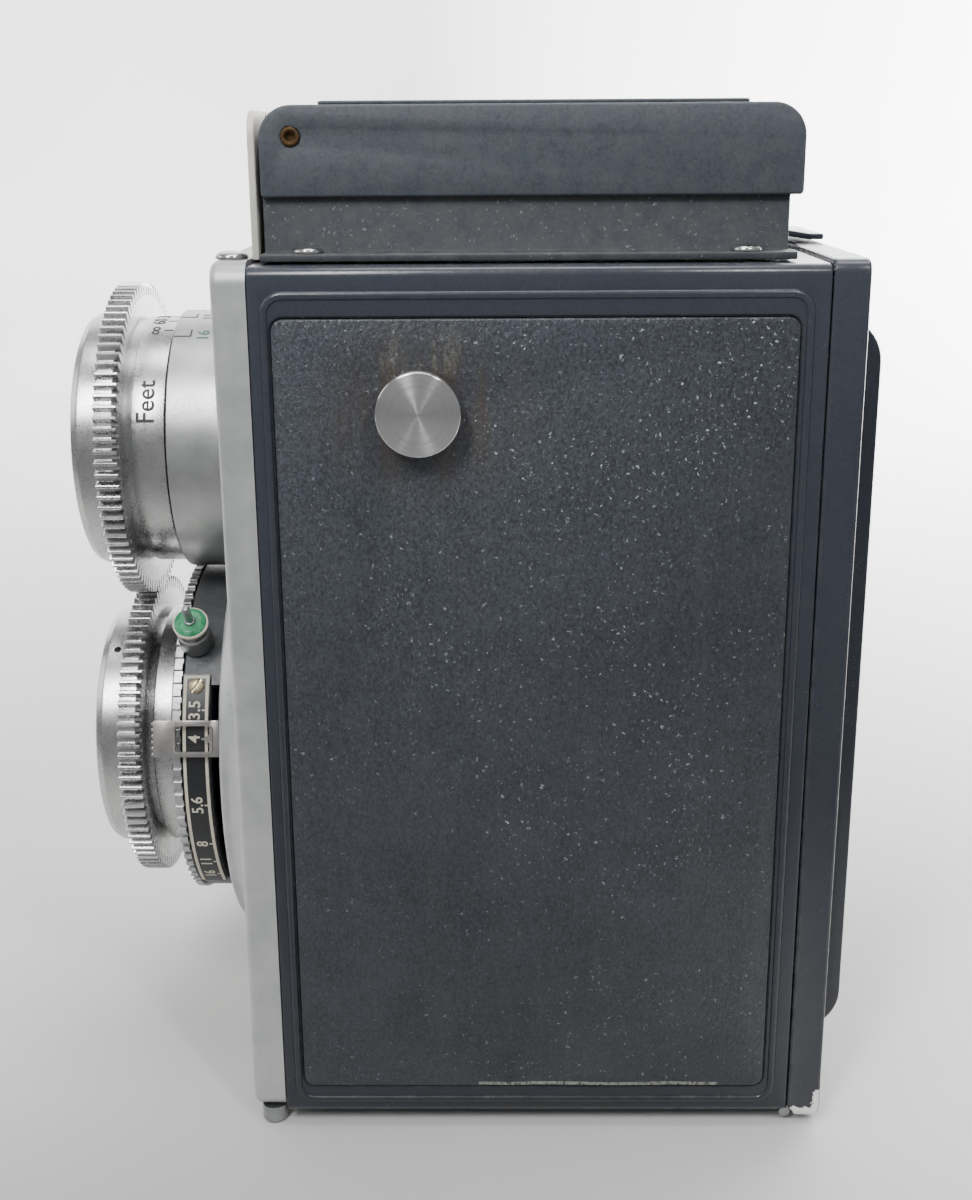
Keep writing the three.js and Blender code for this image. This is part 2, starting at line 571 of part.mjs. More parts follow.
function fixedPieces() {
  const screws = [];
  for (const [name, side] of bothSides) {
    screws.push(piece(`top_screw_${name}`, dome(topScrew.radius, topScrew.height, plate.top + 0.05,
      [side * topScrew.x, topScrew.y, 0]), "polished"));
    for (const end of ["front", "rear"]) {
      const place = [side * hoodScrew.x, hoodScrew[end], 0];
      screws.push(piece(`hood_screw_${end}_${name}`, dome(hoodScrew.radius, hoodScrew.height,
        hood.low + 0.9, place), "polished"));
    }
  }
  const pairs = bothSides.map(([name, side]) => [
    piece(`${name}_leatherette`, leatherPanel(side), "leather"),
    piece(`strap_stud_${name}`, strapStud(side), "polished"),
    piece(`front_foot_${name}`, frontFoot(side), "steel"),
  ]);
  const { from, top, post, insulator, pin } = sync;
  const postProfile = [[0, from], [post, from], [post, top - 0.6], [0, top - 0.6]];
  const insulatorProfile = [[0, top - 0.5], [insulator, top - 0.5], [insulator, top + 0.2],
    [insulator - 0.6, top + 0.4], [0, top + 0.4]];
  const pinProfile = [[0, top + 0.5], [pin, top + 0.5], [pin, top + 3.45], [pin - 0.25, top + 3.75],
    [0, top + 3.75]];
  return group(
    piece("body_shell", bodyShell(), "enamel"),
    piece("front_plate", frontPlate(), "silver"),
    pairs.flat(),
    screws,
    piece("hood_base", hoodBase(), "enamel"),
    piece("name_plate", namePlate(), "silver"),
    piece("ground_glass", block(-29.4, 29.4, -29.8, 27, 111, 112.6), "glass"),
    piece("reflex_mirror", mirrorPlate(), "mirror"),
    piece("film_gate", filmGate(), "enamel"),
    piece("viewing_mount", viewingMount(), "silver"),
    piece("shutter_case", shutterCase(), "enamel"),
    piece("aperture_scale_plate", sector(drum.radius + 0.1, scalePlate.radius, scalePlate.from, scalePlate.to,
      scalePlate.front, scalePlate.rear, takingZ), "label"),
    piece("sync_post", syncPiece(postProfile), "steel"),
    piece("sync_insulator", syncPiece(insulatorProfile), "green"),
    piece("sync_pin", syncPiece(pinProfile), "steel"),
    piece("rear_lens", lensGlass(rearGlass, takingZ), "glass"),
    piece("tripod_bush", tripodBush(), "steel"),
    piece("back_hinge_rod", rod("x", hinge.radius, -36.5, 36.5, [0, hinge.y, hinge.z], sides.tiny), "steel"),
  );
}

function lensPieces() {
  const quarter = Math.PI / 2;
  const halfTooth = Math.PI / gear.teeth;
  return group(
    piece("viewing_gear_ring", gearRing(-quarter + halfTooth, viewingBore + 0.2, scaleBarrel.outer,
      scaleBarrel.rear, viewingZ), "polished"),
    piece("viewing_cell", lensCell(cell.barrel, viewingGlass.radius + 0.3, -44, viewingZ), "silver"),
    piece("viewing_lens", lensGlass(viewingGlass, viewingZ), "glass"),
    piece("taking_gear_ring", gearRing(quarter, cell.barrel + 0.3, takingTube.radius, takingTube.rear,
      takingZ), "polished"),
    piece("taking_cell", lensCell(cell.barrel, takingGlass.radius + 0.3, -48.6, takingZ), "silver"),
    piece("taking_lens", lensGlass(takingGlass, takingZ), "glass"),
    piece("speed_ring", speedRingShape(), "polished"),
    piece("aperture_lever", apertureLever(), "polished"),
    piece("iris_ring", irisRing(), "steel"),
    piece("shutter_blade_upper", shutterBlade(blade.angle, blade.upper), "steel"),
    piece("shutter_blade_lower", shutterBlade(blade.angle + 180, blade.lower), "steel"),
    piece("release_lever", releaseLever(), "polished"),
  );
}

function hoodPieces() {
  const { front, rear, top } = lid;
  const cap = alongZ(roundedRect(-28, 28, front + 6.2, rear - 5.7, 1.5), top + 0.05, top + 0.5, 3);
  return group(
    piece("hood_lid", hoodLid(), "enamel"),
    piece("hood_cap", cap, "enamel"),
    bothSides.map(([name, side]) => piece(`lid_pivot_${name}`, lidPivot(side), "brass")),
    bothSides.map(([name, side]) => piece(`${name}_flap`, sideFlap(side), "enamel")),
    piece("rear_flap", rearFlapShape(), "enamel"),
    piece("magnifier_frame", magnifierFrame(), "enamel"),
    piece("magnifier_lens", magnifierLens(), "glass"),
  );
}

function backPieces() {
  const { z } = windowPlace;
  const inner = panel.rear - cover.wall;
  return group(
    piece("back_cover", backCover(), "enamel"),
    piece("pressure_plate", block(-29.5, 29.5, 30.7, 31.5, takingZ - 29, takingZ + 29), "steel"),
    piece("pressure_spring", pressureSpring(), "steel"),
    piece("red_window", block(-7, 7, inner - 1.8, inner - 1.1, z - 7, z + 7), "red"),
    piece("window_shutter", windowShutter(), "steel"),
    piece("back_latch", backLatch(), "enamel"),
  );
}

function filmPieces() {
  const roller = (z) => rod("x", 1.8, -30.8, 30.8, [0, 26, z]);
  return group(
    piece("winding_knob", windingKnob(), "polished"),
    piece("takeup_spool", filmSpool(takeup), "steel"),
    piece("supply_spool", filmSpool(supply), "steel"),
    piece("upper_roller", roller(takingZ + 31.5), "steel"),
    piece("lower_roller", roller(takingZ - 33.4), "steel"),
  );
}

const camera = group(fixedPieces(), lensPieces(), hoodPieces(), backPieces(), filmPieces());

export default camera;
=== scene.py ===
import bpy
import bmesh
import math
from mathutils import Matrix, Vector


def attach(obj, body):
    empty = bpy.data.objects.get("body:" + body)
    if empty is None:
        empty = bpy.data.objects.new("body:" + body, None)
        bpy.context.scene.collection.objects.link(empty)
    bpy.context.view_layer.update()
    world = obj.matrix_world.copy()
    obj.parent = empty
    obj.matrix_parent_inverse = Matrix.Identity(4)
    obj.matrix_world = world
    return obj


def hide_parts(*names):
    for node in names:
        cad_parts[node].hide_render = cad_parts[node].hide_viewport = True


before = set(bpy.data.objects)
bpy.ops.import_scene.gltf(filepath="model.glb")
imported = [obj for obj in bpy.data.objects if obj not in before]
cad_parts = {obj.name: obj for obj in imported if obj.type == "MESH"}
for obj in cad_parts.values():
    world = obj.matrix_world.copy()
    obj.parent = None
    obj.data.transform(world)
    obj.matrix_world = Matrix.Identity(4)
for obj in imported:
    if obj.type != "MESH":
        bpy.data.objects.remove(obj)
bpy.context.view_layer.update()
mm = 0.001
print("frame loaded:", len(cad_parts), "parts")

viewingZ = 84.55  # height of the viewing lens axis
takingZ = 42.55  # height of the taking lens axis
bodyTop = 110  # height at which the painted top light makes paint and leather palest
sharpAngle = 38  # degrees past which an edge counts as sharp
paintThick = 0.06  # thickness of painted marks and figures


# finishes


def tone(red, green, blue):
    # a display colour, 0 to 255, as a linear one
    return tuple(((c / 255 + 0.055) / 1.055) ** 2.4 for c in (red, green, blue)) + (1,)


def feed(tree, node, values):
    # an input takes another node's output or a plain value
    for label, value in values.items():
        if isinstance(value, bpy.types.NodeSocket):
            tree.links.new(value, node.inputs[label])
        else:
            node.inputs[label].default_value = value


def addNode(tree, kind, values={}, **settings):
    node = tree.nodes.new(kind)
    for label, value in settings.items():
        setattr(node, label, value)
    feed(tree, node, values)
    return node


def mathNode(tree, operation, first, second=0.0, clamp=False):
    return addNode(tree, "ShaderNodeMath", {0: first, 1: second}, operation=operation,
                   use_clamp=clamp).outputs[0]


def times(tree, *values, clamp=False):
    # the product of all values; clamp holds for the whole product
    result = values[0]
    for count, value in enumerate(values[1:], 2):
        result = mathNode(tree, "MULTIPLY", result, value, clamp and count == len(values))
    return result


def below(tree, value, limit):
    return mathNode(tree, "LESS_THAN", value, limit)


def above(tree, value, limit):
    return mathNode(tree, "GREATER_THAN", value, limit)


def spread(tree, value, low, high, lowOut=0.0, highOut=1.0):
    return addNode(tree, "ShaderNodeMapRange", {"Value": value, "From Min": low, "From Max": high,
                                                "To Min": lowOut, "To Max": highOut}).outputs["Result"]


def mixColour(tree, factor, first, second):
    return addNode(tree, "ShaderNodeMix", {"Factor": factor, 6: first, 7: second},
                   data_type="RGBA").outputs[2]


def placeOn(tree, scale=(1, 1, 1), offset=(0, 0, 0)):
    # object coordinates, moved and stretched
    source = addNode(tree, "ShaderNodeTexCoord").outputs["Object"]
    return addNode(tree, "ShaderNodeMapping",
                   {"Vector": source, "Scale": scale, "Location": offset}).outputs[0]


def axesOf(tree, vector):
    return addNode(tree, "ShaderNodeSeparateXYZ", {0: vector}).outputs


def radiusOf(tree, first, second):
    # the distance from an axis, from the two places across it
    squares = [times(tree, side, side) for side in (first, second)]
    return mathNode(tree, "SQRT", mathNode(tree, "ADD", *squares))


def noiseOn(tree, vector, scale, detail=3.0, roughness=0.55):
    return addNode(tree, "ShaderNodeTexNoise", {"Vector": vector, "Scale": scale, "Detail": detail,
                                                "Roughness": roughness}).outputs[0]


def bumpOf(tree, height, strength, distance):
    return addNode(tree, "ShaderNodeBump", {"Strength": strength, "Distance": distance,
                                            "Height": height}).outputs["Normal"]


def newGroup(name, inputs, output="Mask"):
    tree = bpy.data.node_groups.new(name, "ShaderNodeTree")
    for label, value in inputs.items():
        tree.interface.new_socket(name=label, in_out="INPUT",
                                  socket_type="NodeSocketFloat").default_value = value
    tree.interface.new_socket(name=output, in_out="OUTPUT", socket_type="NodeSocketFloat")
    return tree, tree.nodes.new("NodeGroupInput").outputs


def groupEnd(tree, value):
    addNode(tree, "NodeGroupOutput", {0: value})
    return tree


def useGroup(tree, group, values):
    return addNode(tree, "ShaderNodeGroup", values, node_tree=group).outputs[0]


def edgeWearGroup():
    # paint or plate rubbed off along the edges, broken up by a noise
    tree, given = newGroup("edgeWear", {"Width": 0.0004, "Amount": 0.5, "Scale": 900.0})
    soft = addNode(tree, "ShaderNodeBevel", {"Radius": given["Width"]}, samples=4).outputs[0]
    flat = addNode(tree, "ShaderNodeNewGeometry").outputs["Normal"]
    dot = addNode(tree, "ShaderNodeVectorMath", {0: soft, 1: flat}, operation="DOT_PRODUCT").outputs["Value"]
    broken = spread(tree, noiseOn(tree, placeOn(tree), given["Scale"], 4.0, 0.65), 0.42, 0.62)
    return groupEnd(tree, times(tree, spread(tree, dot, 1.0, 0.9), broken, given["Amount"], clamp=True))


def dustGroup():
    # dust that lies on what faces upwards, and a thinner film elsewhere
    tree, given = newGroup("dust", {"Amount": 0.3, "Film": 0.1, "Scale": 300.0})
    faces = axesOf(tree, addNode(tree, "ShaderNodeNewGeometry").outputs["Normal"])
    cover = times(tree, spread(tree, faces["Z"], 0.2, 1.0), given["Amount"])
    cover = mathNode(tree, "ADD", cover, given["Film"])
    patches = spread(tree, noiseOn(tree, placeOn(tree), given["Scale"], 6.0, 0.7), 0.35, 0.75)
    return groupEnd(tree, times(tree, cover, patches, clamp=True))


def flecksGroup():
    # small scattered specks with ragged rims, each about Size across its cell
    tree, given = newGroup("flecks", {"Scale": 900.0, "Size": 0.25, "Share": 0.3})
    wobble = addNode(tree, "ShaderNodeTexNoise", {"Scale": 3200.0, "Vector": placeOn(tree)}).outputs["Color"]
    push = 0.0009  # metres that the noise moves a rim by
    ragged = addNode(tree, "ShaderNodeVectorMath", {0: wobble, 1: (push, push, push), 2: placeOn(tree)},
                     operation="MULTIPLY_ADD").outputs[0]
    cells = addNode(tree, "ShaderNodeTexVoronoi", {"Vector": ragged, "Scale": given["Scale"]}).outputs
    chance = addNode(tree, "ShaderNodeSeparateColor", {0: cells["Color"]}).outputs
    near = below(tree, cells["Distance"], given["Size"])
    chosen = below(tree, chance[0], given["Share"])
    return groupEnd(tree, times(tree, near, chosen, spread(tree, chance[1], 0.0, 1.0, 0.25, 1.0)))


def turnedGroup():
    # fine tool lines round a lens axis: they change with the radius and along the axis only
    tree, given = newGroup("turnedLines", {"Height": 0.0426, "Scale": 9000.0}, "Value")
    at = axesOf(tree, placeOn(tree))
    radius = radiusOf(tree, at["X"], mathNode(tree, "SUBTRACT", at["Z"], given["Height"]))
    lines = addNode(tree, "ShaderNodeCombineXYZ", {0: radius, 1: at["Y"]}).outputs[0]
    return groupEnd(tree, noiseOn(tree, lines, given["Scale"], 2.0))


def chipGroup():
    # paint knocked off one lower corner: a strip along the edge and a spike up the side
    tree, given = newGroup("paintChip", {"Low": 0.0029, "From": 0.0328, "To": 0.036, "Spike": 0.0052})
    at = axesOf(tree, placeOn(tree))
    ragged = times(tree, spread(tree, noiseOn(tree, placeOn(tree), 1500.0), 0.3, 0.7, -1, 1), 0.0005)
    y, z = (mathNode(tree, "ADD", at[axis], ragged) for axis in ("Y", "Z"))
    strip = times(tree, below(tree, z, given["Low"]), above(tree, y, given["From"]),
                  below(tree, y, given["To"]))
    spike = times(tree, below(tree, z, given["Spike"]), above(tree, y, given["To"]))
    side = above(tree, at["X"], 0.0365)  # only at the outside of the left wall
    return groupEnd(tree, times(tree, mathNode(tree, "MAXIMUM", strip, spike), side))


edgeWear = edgeWearGroup()
dust = dustGroup()
flecks = flecksGroup()
turnedLines = turnedGroup()
paintChip = chipGroup()


def newMaterial(name):
    material = bpy.data.materials.new(name)
    material.use_nodes = True
    return material, material.node_tree, material.node_tree.nodes["Principled BSDF"]


def finish(name, look):
    # a painted, plated or moulded finish from the looks that its dictionary names
    material, tree, shader = newMaterial(name)
    blotch = noiseOn(tree, placeOn(tree), look["blotchScale"], 5.0, 0.6)
    colour = mixColour(tree, spread(tree, blotch, 0.3, 0.7), look["dark"], look["light"])
    if "fade" in look:  # painted light: unevenly paler towards the top of the body, standing in for the stronger light there
        speckle = noiseOn(tree, placeOn(tree), 2600.0, 4.0, 0.65)
        uneven = spread(tree, speckle, 0.36, 0.64, look["fadeLow"], 1.0)
        rising = spread(tree, axesOf(tree, placeOn(tree))["Z"], 0.0, bodyTop * mm)
        colour = mixColour(tree, times(tree, rising, uneven), colour, look["fade"])
    fine = noiseOn(tree, placeOn(tree), look.get("grainScale", 2500.0))
    rough = times(tree, mathNode(tree, "ADD", blotch, fine), 0.5)
    rough = spread(tree, rough, 0.35, 0.65, *look["roughness"])
    metal = look.get("metal", 0.0)
    for label, group in (("flecks", flecks), ("wear", edgeWear), ("chip", paintChip), ("dust", dust)):
        if label in look:
            mask = useGroup(tree, group, look[label])
            colour = mixColour(tree, mask, colour, look[label + "Colour"])
            if label == "wear" and not metal:  # bare metal shows where paint is gone
                metal = times(tree, mask, 0.9)
            if label == "dust":
                rough = mathNode(tree, "ADD", rough, times(tree, mask, 0.5), clamp=True)
    height = useGroup(tree, turnedLines, look["turned"]) if "turned" in look else fine
    normal = bumpOf(tree, height, look["bump"], look.get("bumpHeight", 0.00002))
    feed(tree, shader, {"Base Color": colour, "Roughness": rough, "Metallic": metal, "Normal": normal})
    return material


enamelLook = {
    "dark": tone(22, 25, 32), "light": tone(32, 36, 44), "blotchScale": 60.0,
    # the paler top colour is painted light, strongest at the top of the body
    "fade": tone(58, 62, 72), "fadeLow": 0.8,
    "roughness": (0.15, 0.28), "grainScale": 700.0, "bump": 0.1, "bumpHeight": 0.00006,
    "wear": {"Width": 0.00035, "Amount": 0.35, "Scale": 500.0}, "wearColour": tone(120, 118, 114),
    "dust": {"Amount": 0.16, "Film": 0.03, "Scale": 260.0}, "dustColour": tone(120, 116, 108),
    "flecks": {"Scale": 700.0, "Size": 0.12, "Share": 0.05}, "flecksColour": tone(110, 110, 108),
}
coverLook = dict(enamelLook, chip={}, chipColour=tone(226, 226, 222))
hoodLook = dict(enamelLook, dark=tone(34, 38, 44), light=tone(66, 72, 81), fade=tone(70, 77, 86),
                fadeLow=0.35, blotchScale=700.0,
                flecks={"Scale": 1500.0, "Size": 0.16, "Share": 0.3}, flecksColour=tone(130, 134, 138),
                roughness=(0.42, 0.62), bump=0.45, bumpHeight=0.00006, grainScale=1700.0,
                dust={"Amount": 0.35, "Film": 0.22, "Scale": 420.0}, dustColour=tone(116, 113, 108),
                wear={"Width": 0.0003, "Amount": 0.3, "Scale": 700.0})
# painted shade: the hood base is painted darker, standing in for the shadow under the lid
hoodBaseShadedLook = dict(hoodLook, dark=tone(24, 27, 31), light=tone(48, 53, 60), fade=tone(54, 59, 66))
innerLook = dict(enamelLook, dark=tone(24, 24, 26), light=tone(32, 32, 34), fade=tone(30, 30, 32),
                 roughness=(0.6, 0.8), dust={"Amount": 0.1, "Film": 0.02, "Scale": 200.0})
shutterLook = dict(enamelLook, dark=tone(56, 58, 62), light=tone(80, 82, 86), fade=tone(72, 74, 78),
                   blotchScale=900.0, roughness=(0.32, 0.5), grainScale=1500.0, bump=0.8, bumpHeight=0.00012,
                   wear={"Width": 0.0003, "Amount": 0.5, "Scale": 900.0}, wearColour=tone(150, 146, 138))
satinLook = {
    "dark": tone(174, 176, 176), "light": tone(196, 197, 196), "blotchScale": 200.0, "metal": 0.55,
    "roughness": (0.38, 0.5), "grainScale": 4200.0, "bump": 0.35, "bumpHeight": 0.00003,
    "flecks": {"Scale": 1100.0, "Size": 0.2, "Share": 0.16}, "flecksColour": tone(128, 128, 126),
    "wear": {"Width": 0.0003, "Amount": 0.25, "Scale": 800.0}, "wearColour": tone(214, 214, 212),
    "dust": {"Amount": 0.1, "Film": 0.03, "Scale": 300.0}, "dustColour": tone(150, 145, 134),
}
plaqueLook = dict(satinLook, dark=tone(212, 208, 200), light=tone(232, 228, 220), metal=0.05,
                  flecks={"Scale": 900.0, "Size": 0.16, "Share": 0.1}, flecksColour=tone(120, 112, 100))
steelLook = {
    "dark": tone(140, 141, 142), "light": tone(172, 173, 174), "blotchScale": 300.0, "metal": 1.0,
    "roughness": (0.26, 0.42), "grainScale": 3000.0, "bump": 0.2, "bumpHeight": 0.00002,
    "wear": {"Width": 0.0002, "Amount": 0.3, "Scale": 900.0}, "wearColour": tone(205, 205, 203),
    "dust": {"Amount": 0.1, "Film": 0.02, "Scale": 400.0}, "dustColour": tone(96, 88, 78),
}
brassLook = dict(steelLook, dark=tone(66, 52, 38), light=tone(112, 90, 62), blotchScale=1800.0,
                 roughness=(0.4, 0.7), wearColour=tone(140, 116, 82),
                 dust={"Amount": 0.3, "Film": 0.3, "Scale": 900.0}, dustColour=tone(84, 52, 30))
creamLook = {
    "dark": tone(196, 190, 170), "light": tone(222, 217, 200), "blotchScale": 900.0,
    "roughness": (0.45, 0.6), "grainScale": 2500.0, "bump": 0.1,
    "dust": {"Amount": 0.1, "Film": 0.15, "Scale": 900.0}, "dustColour": tone(120, 110, 90),
}
engravingLook = {
    "dark": tone(34, 35, 36), "light": tone(62, 63, 62), "blotchScale": 1500.0,
    "roughness": (0.5, 0.7), "grainScale": 2500.0, "bump": 0.1,
}
fibreLook = {
    "dark": tone(34, 120, 78), "light": tone(64, 156, 108), "blotchScale": 500.0,
    "roughness": (0.22, 0.36), "grainScale": 1500.0, "bump": 0.25, "bumpHeight": 0.00005,
    "flecks": {"Scale": 1500.0, "Size": 0.2, "Share": 0.2}, "flecksColour": tone(28, 96, 62),
}
scaleLook = dict(engravingLook, dark=tone(24, 25, 27), light=tone(36, 37, 40), roughness=(0.34, 0.46),
                 wear={"Width": 0.0002, "Amount": 0.4, "Scale": 900.0}, wearColour=tone(150, 146, 138))


def turnedLook(height, dark, light, roughness, bump):
    # nickel that still shows the lathe's lines
    return {
        "dark": dark, "light": light, "blotchScale": 260.0, "metal": 1.0, "roughness": roughness,
        "turned": {"Height": height * mm, "Scale": 7000.0}, "bump": bump, "bumpHeight": 0.000012,
        "dust": {"Amount": 0.05, "Film": 0.03, "Scale": 500.0}, "dustColour": tone(110, 100, 84),
        "flecks": {"Scale": 1300.0, "Size": 0.13, "Share": 0.08}, "flecksColour": tone(120, 118, 112),
    }


enamel = finish("blackEnamel", enamelLook)
coverEnamel = finish("coverEnamel", coverLook)
hoodPaint = finish("hoodPaint", hoodLook)
hoodBasePaintedShade = finish("hoodBasePaintedShade", hoodBaseShadedLook)
innerBlack = finish("innerBlack", innerLook)
shutterBlack = finish("shutterBlack", shutterLook)
satinSilver = finish("satinSilver", satinLook)
plaqueSilver = finish("plaqueSilver", plaqueLook)
steel = finish("plainSteel", steelLook)
brass = finish("oldBrass", brassLook)
cream = finish("creamPaint", creamLook)
engraving = finish("engravedBlack", engravingLook)
greenFibre = finish("greenFibre", fibreLook)
scaleBlack = finish("scaleBlack", scaleLook)
paleBrass = finish("paleBrass", dict(brassLook, dark=tone(170, 156, 124), light=tone(206, 196, 168),
                                     roughness=(0.24, 0.4), dustColour=tone(120, 104, 74)))
greenPaint = finish("greenPaint", dict(engravingLook, dark=tone(70, 104, 84), light=tone(96, 130, 108)))
nickelBright, nickelSatin = {}, {}
for place, height in (("viewing", viewingZ), ("taking", takingZ)):
    nickelBright[place] = finish(place + "Nickel", turnedLook(
        height, tone(178, 178, 178), tone(196, 196, 195), (0.23, 0.33), 0.5))
    nickelSatin[place] = finish(place + "SatinNickel", turnedLook(
        height, tone(176, 177, 177), tone(196, 197, 196), (0.34, 0.46), 0.25))
screwNickel = finish("screwNickel", dict(steelLook, dark=tone(176, 176, 176), light=tone(204, 204, 202),
                                         roughness=(0.14, 0.26)))
leverNickel = finish("leverNickel", dict(steelLook, dark=tone(160, 158, 156), light=tone(188, 184, 180),
                                         metal=0.9, roughness=(0.26, 0.36), bump=0.03))
leatherLook = {
    "grainScale": 2500.0, "fineScale": 5200.0, "bump": 0.7, "bumpHeight": 0.00009,
    "dark": tone(22, 25, 31), "light": tone(50, 54, 61), "stain": tone(70, 60, 48),
    # the pale top colour is painted light and the glint colour a painted highlight
    "faded": tone(71, 76, 84), "streak": tone(54, 59, 58), "pale": tone(150, 152, 142),
    "glint": tone(206, 212, 220), "dust": tone(92, 92, 88), "studPlace": (37.7, -13.65, 94.7),
    "scratch": {"z": 6.3, "half": 0.22, "from": -7.5, "to": 23.5},
}


def leatherFinish():
    # pressed grain, worn streaks, a stain round the strap stud and a scratch low down; paler towards the top
    # and front as painted light, and glints on the grain as painted highlights
    look = leatherLook
    material, tree, shader = newMaterial("leatherette")
    at = axesOf(tree, placeOn(tree))
    wobble = noiseOn(tree, placeOn(tree), 900.0)
    pushed = addNode(tree, "ShaderNodeVectorMath", {
        0: wobble, 1: (0.0005, 0.0009, 0.0014), 2: placeOn(tree, (1, 1.15, 0.75))},
        operation="MULTIPLY_ADD").outputs[0]
    pebbles = addNode(tree, "ShaderNodeTexVoronoi", {
        "Vector": pushed, "Scale": look["grainScale"],
        "Smoothness": 0.35}, feature="SMOOTH_F1").outputs["Distance"]
    fine = noiseOn(tree, placeOn(tree), look["fineScale"], 4.0, 0.6)
    height = mathNode(tree, "SUBTRACT", times(tree, fine, 0.5), pebbles)
    streaks = noiseOn(tree, placeOn(tree, (1, 1, 0.09)), 340.0, 4.0, 0.65)
    blotch = noiseOn(tree, placeOn(tree), 70.0, 4.0, 0.6)
    speckle = noiseOn(tree, placeOn(tree, (1, 1, 0.7)), 3300.0, 3.0, 0.6)
    patchy = mathNode(tree, "ADD", spread(tree, blotch, 0.25, 0.75, -0.2, 0.5),
                      spread(tree, speckle, 0.35, 0.65, -0.1, 0.6))
    streaky = times(tree, spread(tree, streaks, 0.52, 0.75), 0.4)
    # painted light: paler towards the top and towards the front
    faded = times(tree, spread(tree, at["Z"], 0.01, 0.1), spread(tree, at["Y"], -0.005, 0.03, 1.0, 0.55),
                  spread(tree, speckle, 0.38, 0.62, 0.35, 1.0))
    x, y, z = look["studPlace"]
    squeeze = 0.8  # the stain is longer along the body than it is high
    fromStud = addNode(tree, "ShaderNodeVectorMath", {
        0: placeOn(tree, (1, squeeze, 1.0)), 1: (x * mm, y * squeeze * mm, z * mm)}, operation="DISTANCE")
    ring = spread(tree, fromStud.outputs["Value"], 0.0115, 0.0045)
    stain = times(tree, times(tree, ring, spread(tree, streaks, 0.38, 0.6), clamp=True), 0.7)
    pale = times(tree, ring, spread(tree, at["Z"], 0.0985, 0.1), spread(tree, streaks, 0.54, 0.62),
                 clamp=True)
    pale = times(tree, times(tree, pale, spread(tree, speckle, 0.35, 0.6), clamp=True), 0.3)
    line = look["scratch"]
    wavy = mathNode(tree, "SUBTRACT", at["Z"], times(tree, noiseOn(tree, placeOn(tree), 120.0), 0.0006))
    near = mathNode(tree, "ABSOLUTE", mathNode(tree, "SUBTRACT", wavy, line["z"] * mm))
    scratch = times(tree, below(tree, near, line["half"] * mm), above(tree, at["Y"], line["from"] * mm),
                    below(tree, at["Y"], line["to"] * mm), spread(tree, speckle, 0.35, 0.55), clamp=True)
    scratch = times(tree, scratch, above(tree, at["X"], 0.0), 0.8)
    dusty = useGroup(tree, dust, {"Amount": 0.3, "Film": 0.1, "Scale": 180.0})
    # painted highlights: bright specks in the colour, more of them higher up and towards the rear
    large = useGroup(tree, flecks, {"Scale": 900.0, "Size": 0.13, "Share": 0.8})
    small = useGroup(tree, flecks, {"Scale": 1500.0, "Size": 0.15, "Share": 0.6})
    crowd = spread(tree, noiseOn(tree, placeOn(tree), 60.0), 0.36, 0.62, 0.15, 1.0)
    paintedGlints = times(tree, mathNode(tree, "MAXIMUM", large, times(tree, small, 0.5)), crowd)
    where = times(tree, spread(tree, at["Z"], 0.0, 0.1, 0.3, 1.0),
                  spread(tree, at["Y"], -0.03, 0.01, 0.5, 1.0))
    paintedGlints = times(tree, paintedGlints, where, clamp=True)
    colour = mixColour(tree, patchy, look["dark"], look["light"])
    for mask, name in ((streaky, "streak"), (faded, "faded"), (stain, "stain"), (pale, "pale"),
                       (scratch, "pale"), (dusty, "dust"), (paintedGlints, "glint")):
        colour = mixColour(tree, mask, colour, look[name])
    feed(tree, shader,
         {"Normal": bumpOf(tree, height, look["bump"], look["bumpHeight"]), "Base Color": colour,
                        "Roughness": spread(tree, fine, 0.35, 0.65, 0.3, 0.46), "Specular IOR Level": 0.55})
    return material


def glassFinish(name, colour, roughness, look):
    # glass with a thin hazy film
    material, tree, shader = newMaterial(name)
    film = noiseOn(tree, placeOn(tree), 220.0, 5.0, 0.7)
    hazy = mixColour(tree, spread(tree, film, 0.4, 0.8, 0.0, 0.35), colour, tone(210, 206, 196))
    feed(tree, shader, {"Base Color": hazy, "Roughness": spread(tree, film, 0.35, 0.8, *roughness), **look})
    return material


leather = leatherFinish()
lensGlass = glassFinish("lensGlass", tone(226, 230, 246), (0.0, 0.06), {
    "Transmission Weight": 1.0, "IOR": 1.52, "Coat Weight": 0.6, "Coat Roughness": 0.02,
    "Coat Tint": tone(190, 170, 255)})
screenGlass = glassFinish("screenGlass", tone(206, 212, 204), (0.4, 0.55),
                          {"Transmission Weight": 0.5, "IOR": 1.5})
mirrorGlass = glassFinish("mirrorGlass", tone(226, 230, 232), (0.02, 0.12), {"Metallic": 1.0, "IOR": 1.5})
redGlass = glassFinish("redGlass", tone(140, 16, 14), (0.06, 0.16), {"Transmission Weight": 0.35, "IOR": 1.5})
print("finishes made:", len(bpy.data.materials))


# making shapes


def rounded(points):
    # (radius, place) corners; a third number rounds that corner by an arc
    result = []
    steps = 4
    for i, point in enumerate(points):
        here = Vector(point[:2])
        before, after = Vector(points[i - 1][:2]), Vector(points[(i + 1) % len(points)][:2])
        if len(point) < 3 or not point[2]:
            result.append(here)
            continue
        inward, outward = before - here, after - here
        half = max(inward.normalized().angle(outward.normalized()) / 2, 0.05)
        reach = min(point[2] / math.tan(half), 0.45 * inward.length, 0.45 * outward.length)
        start, end = here + inward.normalized() * reach, here + outward.normalized() * reach
        for k in range(steps + 1):
            share = k / steps
            result.append(start * (1 - share) ** 2 + here * 2 * share * (1 - share) + end * share ** 2)
    return result


alongAxis = {
    "x": lambda radius, angle, place: (place, radius * math.cos(angle), radius * math.sin(angle)),
    "y": lambda radius, angle, place: (radius * math.cos(angle), place, radius * math.sin(angle)),
    "z": lambda radius, angle, place: (radius * math.cos(angle), radius * math.sin(angle), place),
}


